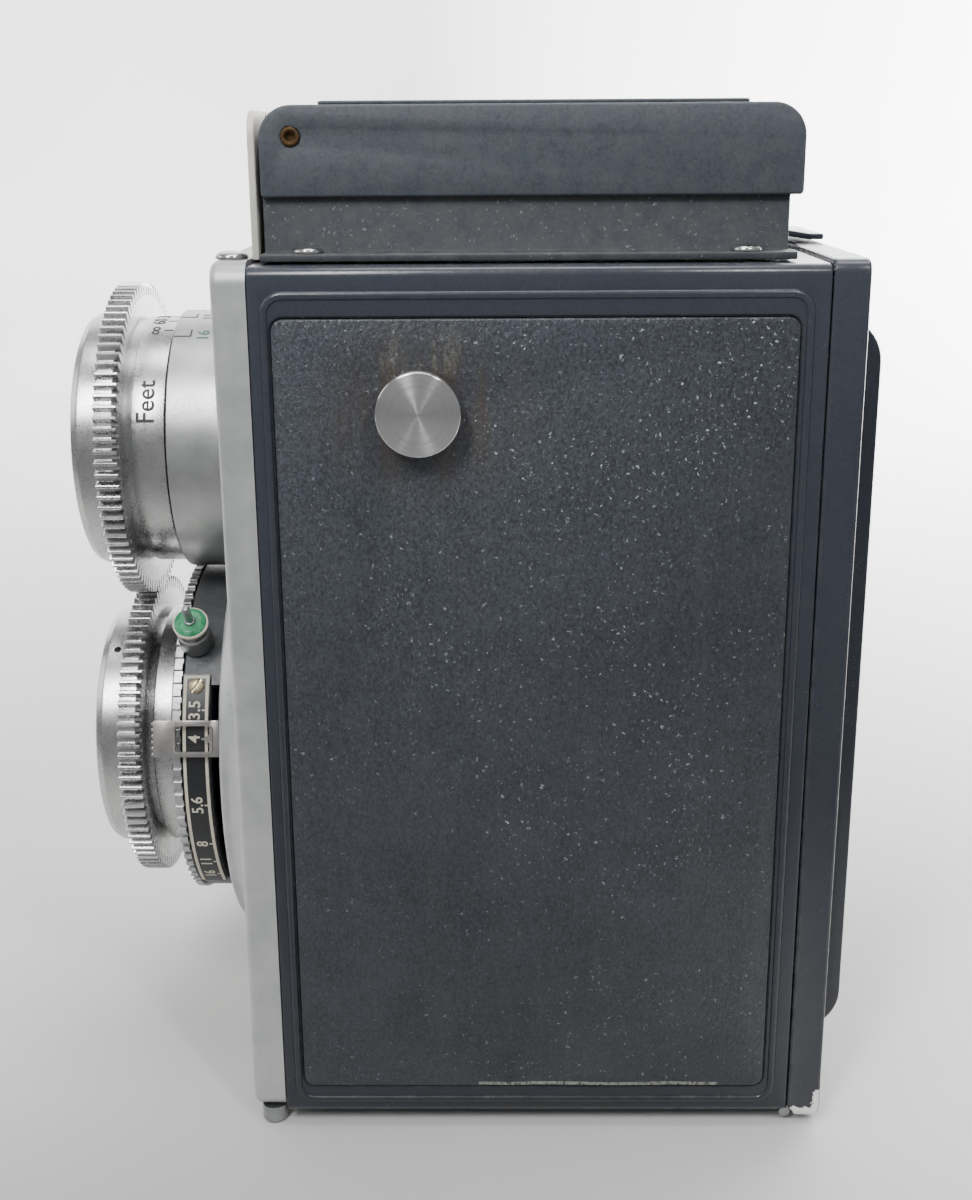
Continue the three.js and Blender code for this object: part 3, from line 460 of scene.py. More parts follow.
def inScene(name, data):
    thing = bpy.data.objects.new(name, data)
    bpy.context.scene.collection.objects.link(thing)
    return thing


def plainMesh(holder):
    # the mesh that an object's modifiers or curve settings make; the object is removed
    bpy.context.view_layer.update()
    mesh = bpy.data.meshes.new_from_object(holder.evaluated_get(bpy.context.evaluated_depsgraph_get()))
    bpy.data.objects.remove(holder)
    return mesh


def asMesh(shape, name="shape"):
    mesh = bpy.data.meshes.new(name)
    shape.to_mesh(mesh)
    shape.free()
    return mesh


def closed(shape):
    # one mesh with its faces pointing outwards
    bmesh.ops.remove_doubles(shape, verts=shape.verts, dist=0.0000005)
    bmesh.ops.recalc_face_normals(shape, faces=shape.faces)
    return asMesh(shape)


def skinned(rows):
    # faces between rows of places, and a cap at each end
    shape = bmesh.new()
    rows = [[shape.verts.new(Vector(place) * mm) for place in row] for row in rows]
    for first, second in zip(rows, rows[1:]):
        for k in range(len(first)):
            after = (k + 1) % len(first)
            shape.faces.new([first[k], first[after], second[after], second[k]])
    shape.faces.new(rows[0])
    shape.faces.new(rows[-1])
    return shape


def lathe(profile, axis, centre, segments):
    # turns a closed (radius, place) outline round an axis
    shape = bmesh.new()
    rings = []
    for point in rounded(profile):
        if point.x < 0.0001:
            place = Vector(alongAxis[axis](0, 0, point.y)) + Vector(centre)
            rings.append([shape.verts.new(place * mm)])
            continue
        ring = []
        for k in range(segments):
            place = Vector(alongAxis[axis](point.x, 2 * math.pi * k / segments, point.y)) + Vector(centre)
            ring.append(shape.verts.new(place * mm))
        rings.append(ring)
    for first, second in zip(rings, rings[1:] + rings[:1]):
        for k in range(segments):
            corners = [first[k % len(first)], first[(k + 1) % len(first)],
                       second[(k + 1) % len(second)], second[k % len(second)]]
            unique = list(dict.fromkeys(corners))
            if len(unique) > 2:
                shape.faces.new(unique)
    return closed(shape)


def aroundLens(profile, z, segments=144):
    return lathe(profile, "y", (0, 0, z), segments)


def fromModifiers(mesh, changes):
    holder = inScene("holder", mesh)
    for kind, settings in changes:
        modifier = holder.modifiers.new(kind, kind)
        for label, value in settings.items():
            setattr(modifier, label, value)
    return plainMesh(holder)


def cutAway(mesh, tools):
    # takes the tool meshes out of the mesh
    helpers = [inScene("tool", tool) for tool in tools]
    result = fromModifiers(mesh,
                           [("BOOLEAN", {"operation": "DIFFERENCE", "solver": "EXACT", "object": helper})
                                  for helper in helpers])
    for helper in helpers:
        bpy.data.objects.remove(helper)
    return result


def boxMesh(low, high):
    shape = bmesh.new()
    bmesh.ops.create_cube(shape, size=1.0)
    size = Vector(high) - Vector(low)
    centre = (Vector(high) + Vector(low)) / 2
    for vert in shape.verts:
        vert.co = Vector(v * s for v, s in zip(vert.co, size)) + centre
        vert.co *= mm
    return closed(shape)


def softened(mesh, bevel, segments=2, limit=50, clamp=True):
    # rounds the edges that are sharper than the limit
    return fromModifiers(mesh, [("BEVEL", {
        "width": bevel * mm, "segments": segments, "limit_method": "ANGLE",
        "angle_limit": math.radians(limit), "use_clamp_overlap": clamp})])


def refined(node, bevel, segments=2, merge=True):
    # a copy of a plain part with its edges rounded; merge joins the triangles of each flat face first
    shape = bmesh.new()
    shape.from_mesh(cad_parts[node].data)
    bmesh.ops.remove_doubles(shape, verts=shape.verts, dist=0.000002)
    if merge:
        bmesh.ops.dissolve_limit(shape, angle_limit=math.radians(0.5), verts=shape.verts, edges=shape.edges)
    return softened(asMesh(shape, node), bevel, segments, sharpAngle, False)


def meshOf(data):
    # a curve or words as a closed mesh
    shape = bmesh.new()
    shape.from_mesh(plainMesh(inScene("holder", data)))
    return closed(shape)


def loopCurve(dimensions, outlines, bevel, resolution):
    # closed outlines of (x, y, z) places as one curve with a round section or edge
    curve = bpy.data.curves.new("outline", "CURVE")
    curve.dimensions = dimensions
    curve.bevel_depth = bevel * mm
    curve.bevel_resolution = resolution
    for places in outlines:
        spline = curve.splines.new("POLY")
        spline.points.add(len(places) - 1)
        for spot, place in zip(spline.points, places):
            spot.co = [number * mm for number in place] + [1]
        spline.use_cyclic_u = True
    return curve


def flatShape(outlines, thickness, bevel=0.0, resolution=1):
    # a flat plate from closed outlines, holes included, centred on its own middle plane
    curve = loopCurve("2D", [[(u, v, 0) for u, v in points] for points in outlines], bevel, resolution)
    curve.fill_mode = "BOTH"
    curve.extrude = (thickness / 2 - bevel) * mm
    curve.offset = -bevel * mm
    return meshOf(curve)


def roundedOutline(u0, u1, v0, v1, corners, steps=8):
    # corners are (low left, low right, high right, high left) radii
    centres = [(u0, v0, 1, 1, 180), (u1, v0, -1, 1, 270), (u1, v1, -1, -1, 0), (u0, v1, 1, -1, 90)]
    points = []
    for (u, v, du, dv, start), radius in zip(centres, corners):
        if not radius:
            points.append((u, v))
            continue
        for k in range(steps + 1):
            angle = math.radians(start + 90 * k / steps)
            points.append((u + du * radius + radius * math.cos(angle),
                           v + dv * radius + radius * math.sin(angle)))
    return points


facing = {  # where a flat shape's own u, v and outward directions go
    "right": Matrix(((0, 0, 1), (1, 0, 0), (0, 1, 0))).to_4x4(),  # u along Y, v along Z, outward +X
    "front": Matrix(((1, 0, 0), (0, 0, -1), (0, 1, 0))).to_4x4(),  # u along X, v along Z, outward -Y
}


def placed(mesh, direction, offset=(0, 0, 0)):
    mesh.transform(Matrix.Translation(Vector(offset) * mm) @ facing[direction])
    return mesh


def turnedTo(mesh, angle, z, y=0.0):
    # turns a mesh made at the +X side of a lens axis to its angle above +X
    mesh.transform(Matrix.Translation((0, y * mm, z * mm)) @ Matrix.Rotation(-math.radians(angle), 4, "Y"))
    return mesh


def joined(meshes):
    shape = bmesh.new()
    for mesh in meshes:
        shape.from_mesh(mesh)
    return asMesh(shape, "joined")


def flipped(mesh, side):
    # the same mesh on the other side of the camera
    result = mesh.copy()
    if side < 0:
        result.transform(Matrix.Scale(-1, 4, (1, 0, 0)))
        result.flip_normals()
    return result


def addPiece(name, mesh, body, nodes, material, sharp=sharpAngle):
    mesh.materials.clear()
    mesh.materials.append(material)
    mesh.shade_smooth()
    mesh.set_sharp_from_angle(angle=math.radians(sharp))
    piece = inScene(name, mesh)
    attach(piece, body)
    if nodes:
        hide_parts(*nodes)


def wrapped(mesh, radius, z):
    # bends flat marks round a lens axis: u runs up the barrel, v towards its front
    for vert in mesh.vertices:
        u, v, w = vert.co
        angle = u / (radius * mm)
        reach = radius * mm + w
        vert.co = (reach * math.cos(angle), -v, z * mm + reach * math.sin(angle))
    return mesh


def textMesh(words, size, u, v, thick=paintThick):
    curve = bpy.data.curves.new("words", "FONT")
    curve.body = words
    curve.size = size * mm
    curve.align_x = "CENTER"
    curve.align_y = "CENTER"
    curve.extrude = thick / 2 * mm
    curve.offset = 0.012 * size * mm
    curve.resolution_u = 3
    mesh = meshOf(curve)
    mesh.transform(Matrix.Translation((u * mm, v * mm, 0)))
    return mesh


def stripMesh(u0, u1, v0, v1):
    # a thin painted line, divided often enough to bend
    steps = max(1, math.ceil(abs(u1 - u0) / 1.2))
    half = paintThick / 2
    rows = []
    for k in range(steps + 1):
        u = u0 + (u1 - u0) * k / steps
        rows.append([(u, v0, -half), (u, v1, -half), (u, v1, half), (u, v0, half)])
    return closed(skinned(rows))


# repeating things


def growthTree(name, inputs):
    tree = bpy.data.node_groups.new(name, "GeometryNodeTree")
    for label, kind in inputs.items():
        tree.interface.new_socket(name=label, in_out="INPUT", socket_type="NodeSocket" + kind)
    tree.interface.new_socket(name="Geometry", in_out="OUTPUT", socket_type="NodeSocketGeometry")
    return tree, tree.nodes.new("NodeGroupInput").outputs


def copiesOn(tree, piece, points, turn):
    # the piece on every point, as real faces
    info = addNode(tree, "GeometryNodeObjectInfo", {"Object": piece}).outputs["Geometry"]
    copies = addNode(tree, "GeometryNodeInstanceOnPoints",
                     {"Points": points, "Instance": info, "Rotation": turn})
    return addNode(tree, "GeometryNodeRealizeInstances", {0: copies.outputs[0]}).outputs[0]


def treeEnd(tree, geometry, material):
    paint = addNode(tree, "GeometryNodeSetMaterial", {"Geometry": geometry, "Material": material})
    addNode(tree, "NodeGroupOutput", {"Geometry": paint.outputs[0]})
    return tree


def ringTree():
    # copies of one piece round an axis that runs along Y, then turned and moved into place
    tree, given = growthTree("ringOfPieces",
                             {"Piece": "Object", "Count": "Int", "Start": "Float", "Step": "Float",
                                              "Turn": "Vector", "Centre": "Vector", "Finish": "Material"})
    points = addNode(tree, "GeometryNodePoints", {"Count": given["Count"]}).outputs[0]
    index = addNode(tree, "GeometryNodeInputIndex").outputs[0]
    angle = mathNode(tree, "ADD", times(tree, index, given["Step"]), given["Start"])
    turn = addNode(tree, "ShaderNodeCombineXYZ", {"Y": times(tree, angle, -1.0)}).outputs[0]
    moved = addNode(tree, "GeometryNodeTransform", {
        "Geometry": copiesOn(tree, given["Piece"], points, turn), "Rotation": given["Turn"],
        "Translation": given["Centre"]})
    return treeEnd(tree, moved.outputs[0], given["Finish"])


def spotsTree():
    # copies of one piece on the corners of a mesh, each turned by its own angle about Z
    tree, given = growthTree("piecesOnSpots", {"Geometry": "Geometry", "Piece": "Object", "Twist": "Float",
                                               "Seed": "Int", "Finish": "Material"})
    chance = addNode(tree, "FunctionNodeRandomValue", {3: given["Twist"], "Seed": given["Seed"]},
                     data_type="FLOAT")
    turn = addNode(tree, "ShaderNodeCombineXYZ", {"Z": chance.outputs[1]}).outputs[0]
    return treeEnd(tree, copiesOn(tree, given["Piece"], given["Geometry"], turn), given["Finish"])


ringOfPieces = ringTree()
piecesOnSpots = spotsTree()


def grown(tree, master, values, spots=()):
    # the plain mesh that a tree makes from one master piece
    pattern = inScene("pattern", master)
    mesh = bpy.data.meshes.new("grown")
    mesh.from_pydata([Vector(spot) * mm for spot in spots], [], [])
    holder = inScene("holder", mesh)
    modifier = holder.modifiers.new("grow", "NODES")
    modifier.node_group = tree
    for item in tree.interface.items_tree:
        value = pattern if item.name == "Piece" else values.get(item.name)
        if item.in_out == "INPUT" and value is not None:
            modifier[item.identifier] = value
    result = plainMesh(holder)
    bpy.data.objects.remove(pattern)
    return result


def ringMesh(master, count, centre, material, start=0.0, turn=(0, 0, 0)):
    return grown(ringOfPieces, master, {
        "Count": count, "Start": math.radians(start), "Step": math.radians(360 / count),
        "Turn": turn, "Centre": Vector(centre) * mm, "Finish": material})


def prism(outline, front, rear, bevel):
    # an outline in (radius, height) drawn at the +X side, pushed along Y, with its outer rim bevelled
    shape = skinned([[(r, y, h) for r, h in outline] for y in (front, rear)])
    crest = max(r for r, h in outline) * mm
    rim = [edge for edge in shape.edges if all(vert.co.x > crest - 0.00001 for vert in edge.verts)]
    bmesh.ops.bevel(shape, geom=rim, offset=bevel * mm, segments=1, affect="EDGES")
    return closed(shape)


# body

bodyHalf = 37.5  # half the body's width
bead = {"front": -31.0, "rear": 30.4, "low": 4.1, "top": 107.65, "corner": 2.1, "radius": 0.5, "sink": 0.12}


def beadMesh():
    # a half round ridge pressed into the side, all round the leatherette
    path = roundedOutline(bead["front"], bead["rear"], bead["low"], bead["top"], [bead["corner"]] * 4)
    inside = bodyHalf - bead["sink"]
    mesh = meshOf(loopCurve("3D", [[(inside, y, z) for y, z in path]], bead["radius"], 3))
    for vert in mesh.vertices:  # pressed flat, so that only a low ridge stands proud
        vert.co.x = (inside + (vert.co.x / mm - inside) * 0.9) * mm
    return mesh


addPiece("bodyShell", refined("body_shell", 0.3, 3), "body", ["body_shell"], enamel)
ridge = beadMesh()
for side, word in ((1, "Left"), (-1, "Right")):
    addPiece("sideBead" + word, flipped(ridge, side), "body", [], enamel, 60)
for word in ("left", "right"):
    addPiece("leatherette" + word.capitalize(), refined(word + "_leatherette", 0.22, 3), "body",
             [word + "_leatherette"], leather)

plate = {"front": -36.95, "rear": -32.85, "low": 2.3, "top": 111.4, "corner": 2.6, "bevel": 0.9, "hole": 15.2}
boss = {"radius": 28, "base": 33, "front": -40.95, "bore": 20.7}
mount = {"outer": 17.6, "bore": 15.6, "front": -47.35, "spigot": 14.9, "spigotBore": 14.4, "rear": -31}


def frontSlab():
    # rounded at the front only: the rear half of a plate twice as thick is cut off
    thick = 2 * (plate["rear"] - plate["front"])
    outline = roundedOutline(-bodyHalf, bodyHalf, plate["low"], plate["top"], [plate["corner"]] * 4)
    slab = placed(flatShape([outline], thick, plate["bevel"], 3), "front", (0, plate["rear"], 0))
    spare = boxMesh((-60, plate["rear"], -20), (60, 0, 140))
    holes = [lathe([(0, -45), (radius, -45), (radius, -20), (0, -20)], "y", (0, 0, z), 96)
             for radius, z in ((plate["hole"], viewingZ), (boss["bore"], takingZ))]
    return cutAway(slab, [spare] + holes)


addPiece("frontSlab", frontSlab(), "body", ["front_plate"], satinSilver, 30)
bossProfile = [(boss["bore"], plate["front"] + 0.4), (34.2, plate["front"] + 0.4),
               (34.2, plate["front"] - 0.02), (boss["base"] - 1.2, plate["front"] - 0.1, 2.5),
               (29.3, -38.4, 2.0), (28.3, boss["front"] + 1.2, 2), (boss["radius"], boss["front"], 1.1),
               (boss["bore"], boss["front"], 0.2)]
addPiece("shutterBoss", aroundLens(bossProfile, takingZ, 160), "body", ["front_plate"],
         satinSilver, 50)

stud = {"y": -13.65, "z": 94.7}
studProfile = [(0, 37.15), (3.4, 37.15), (3.4, 37.9, 0.1), (2.4, 38.0), (2.4, 38.6), (4.5, 38.6, 0.1),
               (4.6, 39.35, 0.15), (4.25, 39.4), (4.25, 39.65), (4.85, 39.7, 0.12), (4.85, 40.9, 0.28),
               (0, 40.82)]


def spunFinish():
    # a face turned on the lathe: its fine rings stretch the reflections into a cross
    material, tree, shader = newMaterial("spunNickel")
    at = axesOf(tree, placeOn(tree, offset=(0, -stud["y"] * mm, -stud["z"] * mm)))
    radius = addNode(tree, "ShaderNodeCombineXYZ", {0: radiusOf(tree, at["Y"], at["Z"])}).outputs[0]
    rings = noiseOn(tree, radius, 3200.0, 2.0)
    feed(tree, shader, {
        "Base Color": mixColour(tree, rings, tone(206, 205, 204), tone(226, 225, 224)),
        "Roughness": spread(tree, rings, 0.3, 0.7, 0.2, 0.28), "Normal": bumpOf(tree, rings, 0.12, 0.00001),
        "Tangent": addNode(tree, "ShaderNodeTangent", direction_type="RADIAL", axis="X").outputs[0],
        "Metallic": 1.0, "Anisotropic": 0.95, "Anisotropic Rotation": 0.25})
    return material


spunNickel = spunFinish()
studMesh = lathe(studProfile, "x", (0, stud["y"], stud["z"]), 96)
footMesh = lathe([(0, 0), (1.65, 0, 0.5), (1.65, 2.35), (0, 2.35)], "z", (0, 0, 0), 40)
for side, word in ((1, "left"), (-1, "right")):
    addPiece("strapStud" + word.capitalize(), flipped(studMesh, side), "body", ["strap_stud_" + word],
             spunNickel)
    foot = footMesh.copy()
    foot.transform(Matrix.Translation((side * 35.5 * mm, -34.55 * mm, 0)))
    addPiece("frontFoot" + word.capitalize(), foot, "body", ["front_foot_" + word], steel)


def screwMaster(radius, height, slotWidth, slotDepth):
    # a dome headed screw standing on its own zero level, with a slot along X
    dome = [(0, 0), (radius, 0, 0.05)]
    steps = 6
    for k in range(steps):
        angle = k / steps * math.pi / 2
        dome.append((radius * math.cos(angle), height * (0.25 + 0.75 * math.sin(angle))))
    dome.append((0, height))
    head = lathe(dome, "z", (0, 0, 0), 32)
    slot = boxMesh((-radius - 1, -slotWidth / 2, height - slotDepth), (radius + 1, slotWidth / 2, height + 1))
    return cutAway(head, [slot])


screws = {
    "top": {"x": 33, "ys": [-34.9], "z": 111.45, "radius": 1.9, "height": 0.9, "slot": 0.4, "seed": 4,
            "nodes": ["top_screw_left", "top_screw_right"]},
    "hood": {"x": 33.1, "ys": [-26.15, 23.45], "z": 112.05, "radius": 1.8, "height": 0.85, "slot": 0.38,
             "seed": 9, "nodes": ["hood_screw_front_left", "hood_screw_front_right",
                                  "hood_screw_rear_left", "hood_screw_rear_right"]},
}
for word, screw in screws.items():
    spots = [(side * screw["x"], y, screw["z"]) for side in (1, -1) for y in screw["ys"]]
    mesh = grown(piecesOnSpots, screwMaster(screw["radius"], screw["height"], screw["slot"], 0.4),
                 {"Twist": 3.0, "Seed": screw["seed"], "Finish": screwNickel}, spots)
    addPiece(word + "Screws", mesh, "body", screw["nodes"], screwNickel)
addPiece("hoodBase", refined("hood_base", 0.15), "body", ["hood_base"], hoodBasePaintedShade)
addPiece("namePlate", refined("name_plate", 0.12), "body", ["name_plate"], plaqueSilver)
rivetProfile = [(0, -0.1), (0.9, -0.1), (0.9, 0.05), (0.62, 0.24), (0.25, 0.34), (0, 0.35)]
rivetMesh = lathe(rivetProfile, "z", (0, 0, 0), 24)
rivetMesh.transform(Matrix.Rotation(math.pi / 2, 4, "X"))
rivetSpots = [(side * 27, -32.8, z) for side in (1, -1) for z in (116, 123.5)]
rivets = grown(piecesOnSpots, rivetMesh, {"Twist": 0.0, "Seed": 1, "Finish": steel}, rivetSpots)
addPiece("plateRivets", rivets, "body", [], steel)
print("body made")


# lenses

gear = {"teeth": 92, "pitch": 21, "front": -55.75, "rear": -52.75, "gap": 0.09, "pressure": 20, "bevel": 0.05,
        "back": 0.85}
tube = {"bore": 15.2, "seat": 16.45, "radius": 16.8, "step": -51.98, "rear": -47.65}


def toothMaster():
    module = 2 * gear["pitch"] / gear["teeth"]
    tip = gear["pitch"] + 0.85 * module
    root = gear["pitch"] - 1.15 * module
    slope = math.tan(math.radians(gear["pressure"]))
    width = (math.pi * module / 2 - gear["gap"]) / 2
    halfTip = width - (tip - gear["pitch"]) * slope
    halfRoot = width + (gear["pitch"] - root) * slope
    outline = [(root - 1.1, -halfRoot), (root, -halfRoot), (tip, -halfTip), (tip, halfTip), (root, halfRoot),
               (root - 1.1, halfRoot)]
    return prism(outline, gear["front"], gear["rear"], gear["bevel"]), root


def gearPieces(word, z, start, hub, body, node):
    tooth, root = toothMaster()
    teeth = ringMesh(tooth, gear["teeth"], (0, 0, z), nickelBright[word], start)
    bore = hub[0][0]
    wheel = [(bore, gear["front"]), (root, gear["front"], 0.05), (root, gear["rear"] - gear["back"]),
             (root - 0.75, gear["rear"], 0.05)] + hub
    addPiece(word + "GearTeeth", teeth, body, [node], nickelBright[word], 30)
    addPiece(word + "GearRing", aroundLens(wheel, z), body, [node],
             nickelBright[word], 30)


halfTooth = 180 / gear["teeth"]  # so that the teeth of the two rings mesh
gearPieces("viewing", viewingZ, -90 + halfTooth, [(tube["bore"], gear["rear"] + 0.01)], "viewing_ring",
           "viewing_gear_ring")
barrel = [(tube["bore"], gear["rear"] - 0.3), (tube["seat"], gear["rear"] - 0.3),
          (tube["seat"], tube["step"]), (tube["radius"], tube["step"] + 0.06, 0.1),
          (tube["radius"], tube["rear"], 0.12), (tube["bore"], tube["rear"])]
addPiece("distanceBarrel", aroundLens(barrel, viewingZ), "viewing_ring", ["viewing_gear_ring"],
         nickelBright["viewing"], 30)
gearPieces("taking", takingZ, 90, [(15.5, gear["rear"] + 0.01), (15.5, -48.0), (14.4, -48.0)],
           "taking_ring", "taking_gear_ring")

mountProfile = [(mount["bore"], mount["front"]), (mount["outer"], mount["front"], 0.18),
                (mount["outer"], -37.05), (mount["spigot"], -37.05), (mount["spigot"], mount["rear"]),
                (mount["spigotBore"], mount["rear"]), (mount["spigotBore"], -38.45), (mount["bore"], -38.45)]
addPiece("viewingMount", aroundLens(mountProfile, viewingZ), "body", ["viewing_mount"],
         nickelSatin["viewing"], 30)


def cellMesh(barrelRadius, bore, rear, z):
    lip, rim, front = 14.6, 17.2, -59.9
    profile = [(bore, rear), (barrelRadius, rear), (barrelRadius, -56.05), (16.9, -56.05), (rim, -56.3, 0.15),
               (rim, -58.9, 0.5), (16.8, front + 0.15, 0.35), (16.3, front, 0.15), (lip, front, 0.2)]
    steps = 7  # thread-like steps down to the glass keep stray light out
    for k in range(steps):
        share = (k + 1) / (steps + 1)
        radius = lip + (bore + 1.0 - lip) * share
        place = front + 2.6 * share
        profile += [(radius + 0.12, place), (radius + 0.12, place + 0.1)]
    profile += [(bore + 0.9, -57.3), (bore, -57.3)]
    hole = lathe([(0, -2), (0.5, -2), (0.5, 1), (0, 1)], "x", (rim, 0, 0), 20)
    hole.transform(Matrix.Translation((0, -57.6 * mm, 0)))
    return aroundLens(profile, z), hole


def glassMesh(radius, front, bulge, rear, z):
    steps = 10
    profile = [(0, rear), (radius, rear)]
    for k in range(steps + 1):
        share = 1 - k / steps
        profile.append((radius * share, front - bulge * (1 - share * share)))
    return lathe(profile, "y", (0, 0, z), 96)


cells = {
    "viewing": {"z": viewingZ, "bore": 12.4, "rear": -44, "glass": (12.1, -56.9, 1.6, -52.5),
                "holes": (86, -74)},
    "taking": {"z": takingZ, "bore": 11.2, "rear": -48.6, "glass": (10.9, -56.9, 1.2, -52.5),
               "holes": (56, 236)},
}
for word, cell in cells.items():
    ring, hole = cellMesh(14.1, cell["bore"], cell["rear"], cell["z"])
    holes = [turnedTo(hole.copy(), angle, cell["z"]) for angle in cell["holes"]]
    addPiece(word + "Cell", cutAway(ring, holes), word + "_cell", [word + "_cell"],
             nickelBright[word], 30)
    addPiece(word + "Glass", glassMesh(*cell["glass"], cell["z"]), word + "_cell", [word + "_lens"],
             lensGlass, 50)
    sleeve = [(cell["bore"], -52.4), (cell["bore"] - 1.2, -52.3),
              (cell["bore"] - 1.2, cell["rear"] + 0.3), (cell["bore"] - 0.02, cell["rear"] + 0.2)]
    addPiece(word + "Baffle", aroundLens(sleeve, cell["z"], 96), word + "_cell", [],
             innerBlack)
addPiece("rearGlass", glassMesh(9.2, -40.6, 0.8, -38.4, takingZ), "body", ["rear_lens"],
         lensGlass, 50)

barrelMarks = {"radius": tube["radius"], "middle": 50.05, "from": 47.75, "to": 49.0, "half": 0.1}
marks = []
for words, angle in (("∞", 69), ("60", 80), ("30", 91.5), ("20", 103), ("15", 116), ("12", 130), ("10", 146),
                     ("8", 165), ("6", 190), ("5", 212), ("4", 240), ("3.5", 262)):
    along = math.radians(angle) * barrelMarks["radius"]
    marks.append(textMesh(words, 2.5, along, barrelMarks["middle"]))
    marks.append(stripMesh(along - barrelMarks["half"], along + barrelMarks["half"], barrelMarks["from"],
                           barrelMarks["to"]))
marks.append(textMesh("Feet", 3.35, math.radians(27) * barrelMarks["radius"], 50.0))
addPiece("distanceMarks", wrapped(joined(marks), barrelMarks["radius"], viewingZ), "viewing_ring", [],
         engraving, 60)
marks, greenMarks = [], []
depth = {"rim": 47.2, "short": 2.3, "long": 3.4, "hook": 1.4, "middle": 108}
for angle, words in ((60, "16"), (77.3, "11"), (93, "8"), (108, ""), (123, "8"), (138.7, "11"), (156, "16")):
    along = math.radians(angle) * mount["outer"]
    low = depth["rim"] - (depth["short"] if words else depth["long"])
    marks.append(stripMesh(along - 0.1, along + 0.1, low, depth["rim"]))
    if words:
        hook = along + (depth["hook"] if angle < depth["middle"] else -depth["hook"])
        marks.append(stripMesh(min(along, hook), max(along, hook), low, low + 0.2))
        greenMarks.append(textMesh(words, 2.2, along + 0.2, 43.3))
for name, meshes, slot, material in (("depthMarks", marks, "scale_black", engraving),
                                     ("depthNumbers", greenMarks, "green_fibre", greenPaint)):
    addPiece(name, wrapped(joined(meshes), mount["outer"], viewingZ), "body", [], material, 60)
print("lenses made")


# shutter

drum = {"radius": 23.6, "front": -46.55, "rear": -41.15, "neck": 17.6, "collar": 17.1, "collarBore": 15.8,
        "collarFront": -51.9}
room = {"radius": 21.9, "front": -45.6, "rear": -41.65}  # the hollow inside the drum
lever = {"angle": 15.6, "front": -50.3, "rear": -41.4, "low": 24.7, "top": 25.2, "half": 2.4,
         "window": {"front": -47.15, "rear": -42.55, "half": 1.7}, "rim": 0.3, "teeth": 6,
         "travel": (-56, 10), "clear": 7}


def sectorMesh(inner, outer, start, end, y0, y1, z):
    # a block bent round a lens axis between two angles
    steps = max(2, math.ceil(abs(end - start) / 3))
    rows = []
    for k in range(steps + 1):
        angle = math.radians(start + (end - start) * k / steps)
        rows.append([(r * math.cos(angle), y, z + r * math.sin(angle))
                     for r, y in ((inner, y0), (outer, y0), (outer, y1), (inner, y1))])
    return closed(skinned(rows))


def shutterDrum():
    profile = [(drum["neck"], drum["front"]), (drum["radius"], drum["front"], 0.25),
               (drum["radius"], drum["rear"]), (20.4, drum["rear"]), (20.4, -34), (18.9, -34), (18.9, -38.2),
               (9.5, -38.2), (9.5, room["rear"]), (room["radius"], room["rear"]),
               (room["radius"], room["front"]), (drum["neck"], room["front"])]
    shell = aroundLens(profile, takingZ)
    low, high = (lever["angle"] + degrees for degrees in lever["travel"])
    inner, outer = 20.9, 26  # both slots are cut right through the drum's wall
    leverSlot = sectorMesh(inner, outer, low - lever["clear"], high + lever["clear"], -42.85, -41.75, takingZ)
    releaseSlot = sectorMesh(inner, outer, 198, 230, -44.7, -42.9, takingZ)
    return cutAway(shell, [leverSlot, releaseSlot])


addPiece("shutterDrum", shutterDrum(), "body", ["shutter_case"], shutterBlack, 30)
collarProfile = [(drum["collarBore"], drum["collarFront"]), (drum["collar"], drum["collarFront"], 0.25),
                 (drum["collar"], -49.3), (drum["collar"], drum["front"] - 0.02),
                 (drum["neck"], drum["front"] - 0.02), (drum["neck"], room["front"]),
                 (drum["collarBore"], room["front"])]
addPiece("shutterCollar", aroundLens(collarProfile, takingZ), "body", ["shutter_case"],
         nickelBright["taking"], 30)

speedRing = {"radius": 23.9, "bore": 17.5, "front": -47.85, "rear": -46.75, "rise": -48.9, "ribs": 84,
             "root": 23.2, "numbers": 18.75}
ringProfile = [(speedRing["bore"], speedRing["rear"]), (23.5, speedRing["rear"]), (23.5, speedRing["front"]),
               (22.6, speedRing["front"] - 0.02, 0.1), (19.6, speedRing["rise"], 0.4),
               (speedRing["bore"], speedRing["rise"], 0.1)]
addPiece("speedRing", aroundLens(ringProfile, takingZ), "speed_ring", ["speed_ring"],
         nickelSatin["taking"], 30)
pitch = 2 * math.pi * speedRing["radius"] / speedRing["ribs"]
ribOutline = [(speedRing["root"], -pitch * 0.31), (speedRing["radius"], -pitch * 0.27),
              (speedRing["radius"], pitch * 0.27), (speedRing["root"], pitch * 0.31)]
rib = prism(ribOutline, speedRing["front"], speedRing["rear"], 0.06)
addPiece("speedRingRibs", ringMesh(rib, speedRing["ribs"], (0, 0, takingZ), nickelSatin["taking"]),
         "speed_ring", ["speed_ring"], nickelSatin["taking"], 30)
speeds = []
for k, words in enumerate(("B", "1", "2", "5", "10", "25", "50", "100", "300")):
    angle = math.radians(150 - k * 15)
    mesh = placed(textMesh(words, 1.45, 0, 0, 0.08), "front")
    mesh.transform(Matrix.Rotation(math.pi / 2 - angle, 4, "Y"))
    radius = speedRing["numbers"]
    place = Vector((radius * math.cos(angle), speedRing["rise"], takingZ + radius * math.sin(angle))) * mm
    mesh.transform(Matrix.Translation(place))
    speeds.append(mesh)
addPiece("speedNumbers", joined(speeds), "speed_ring", [], engraving, 60)

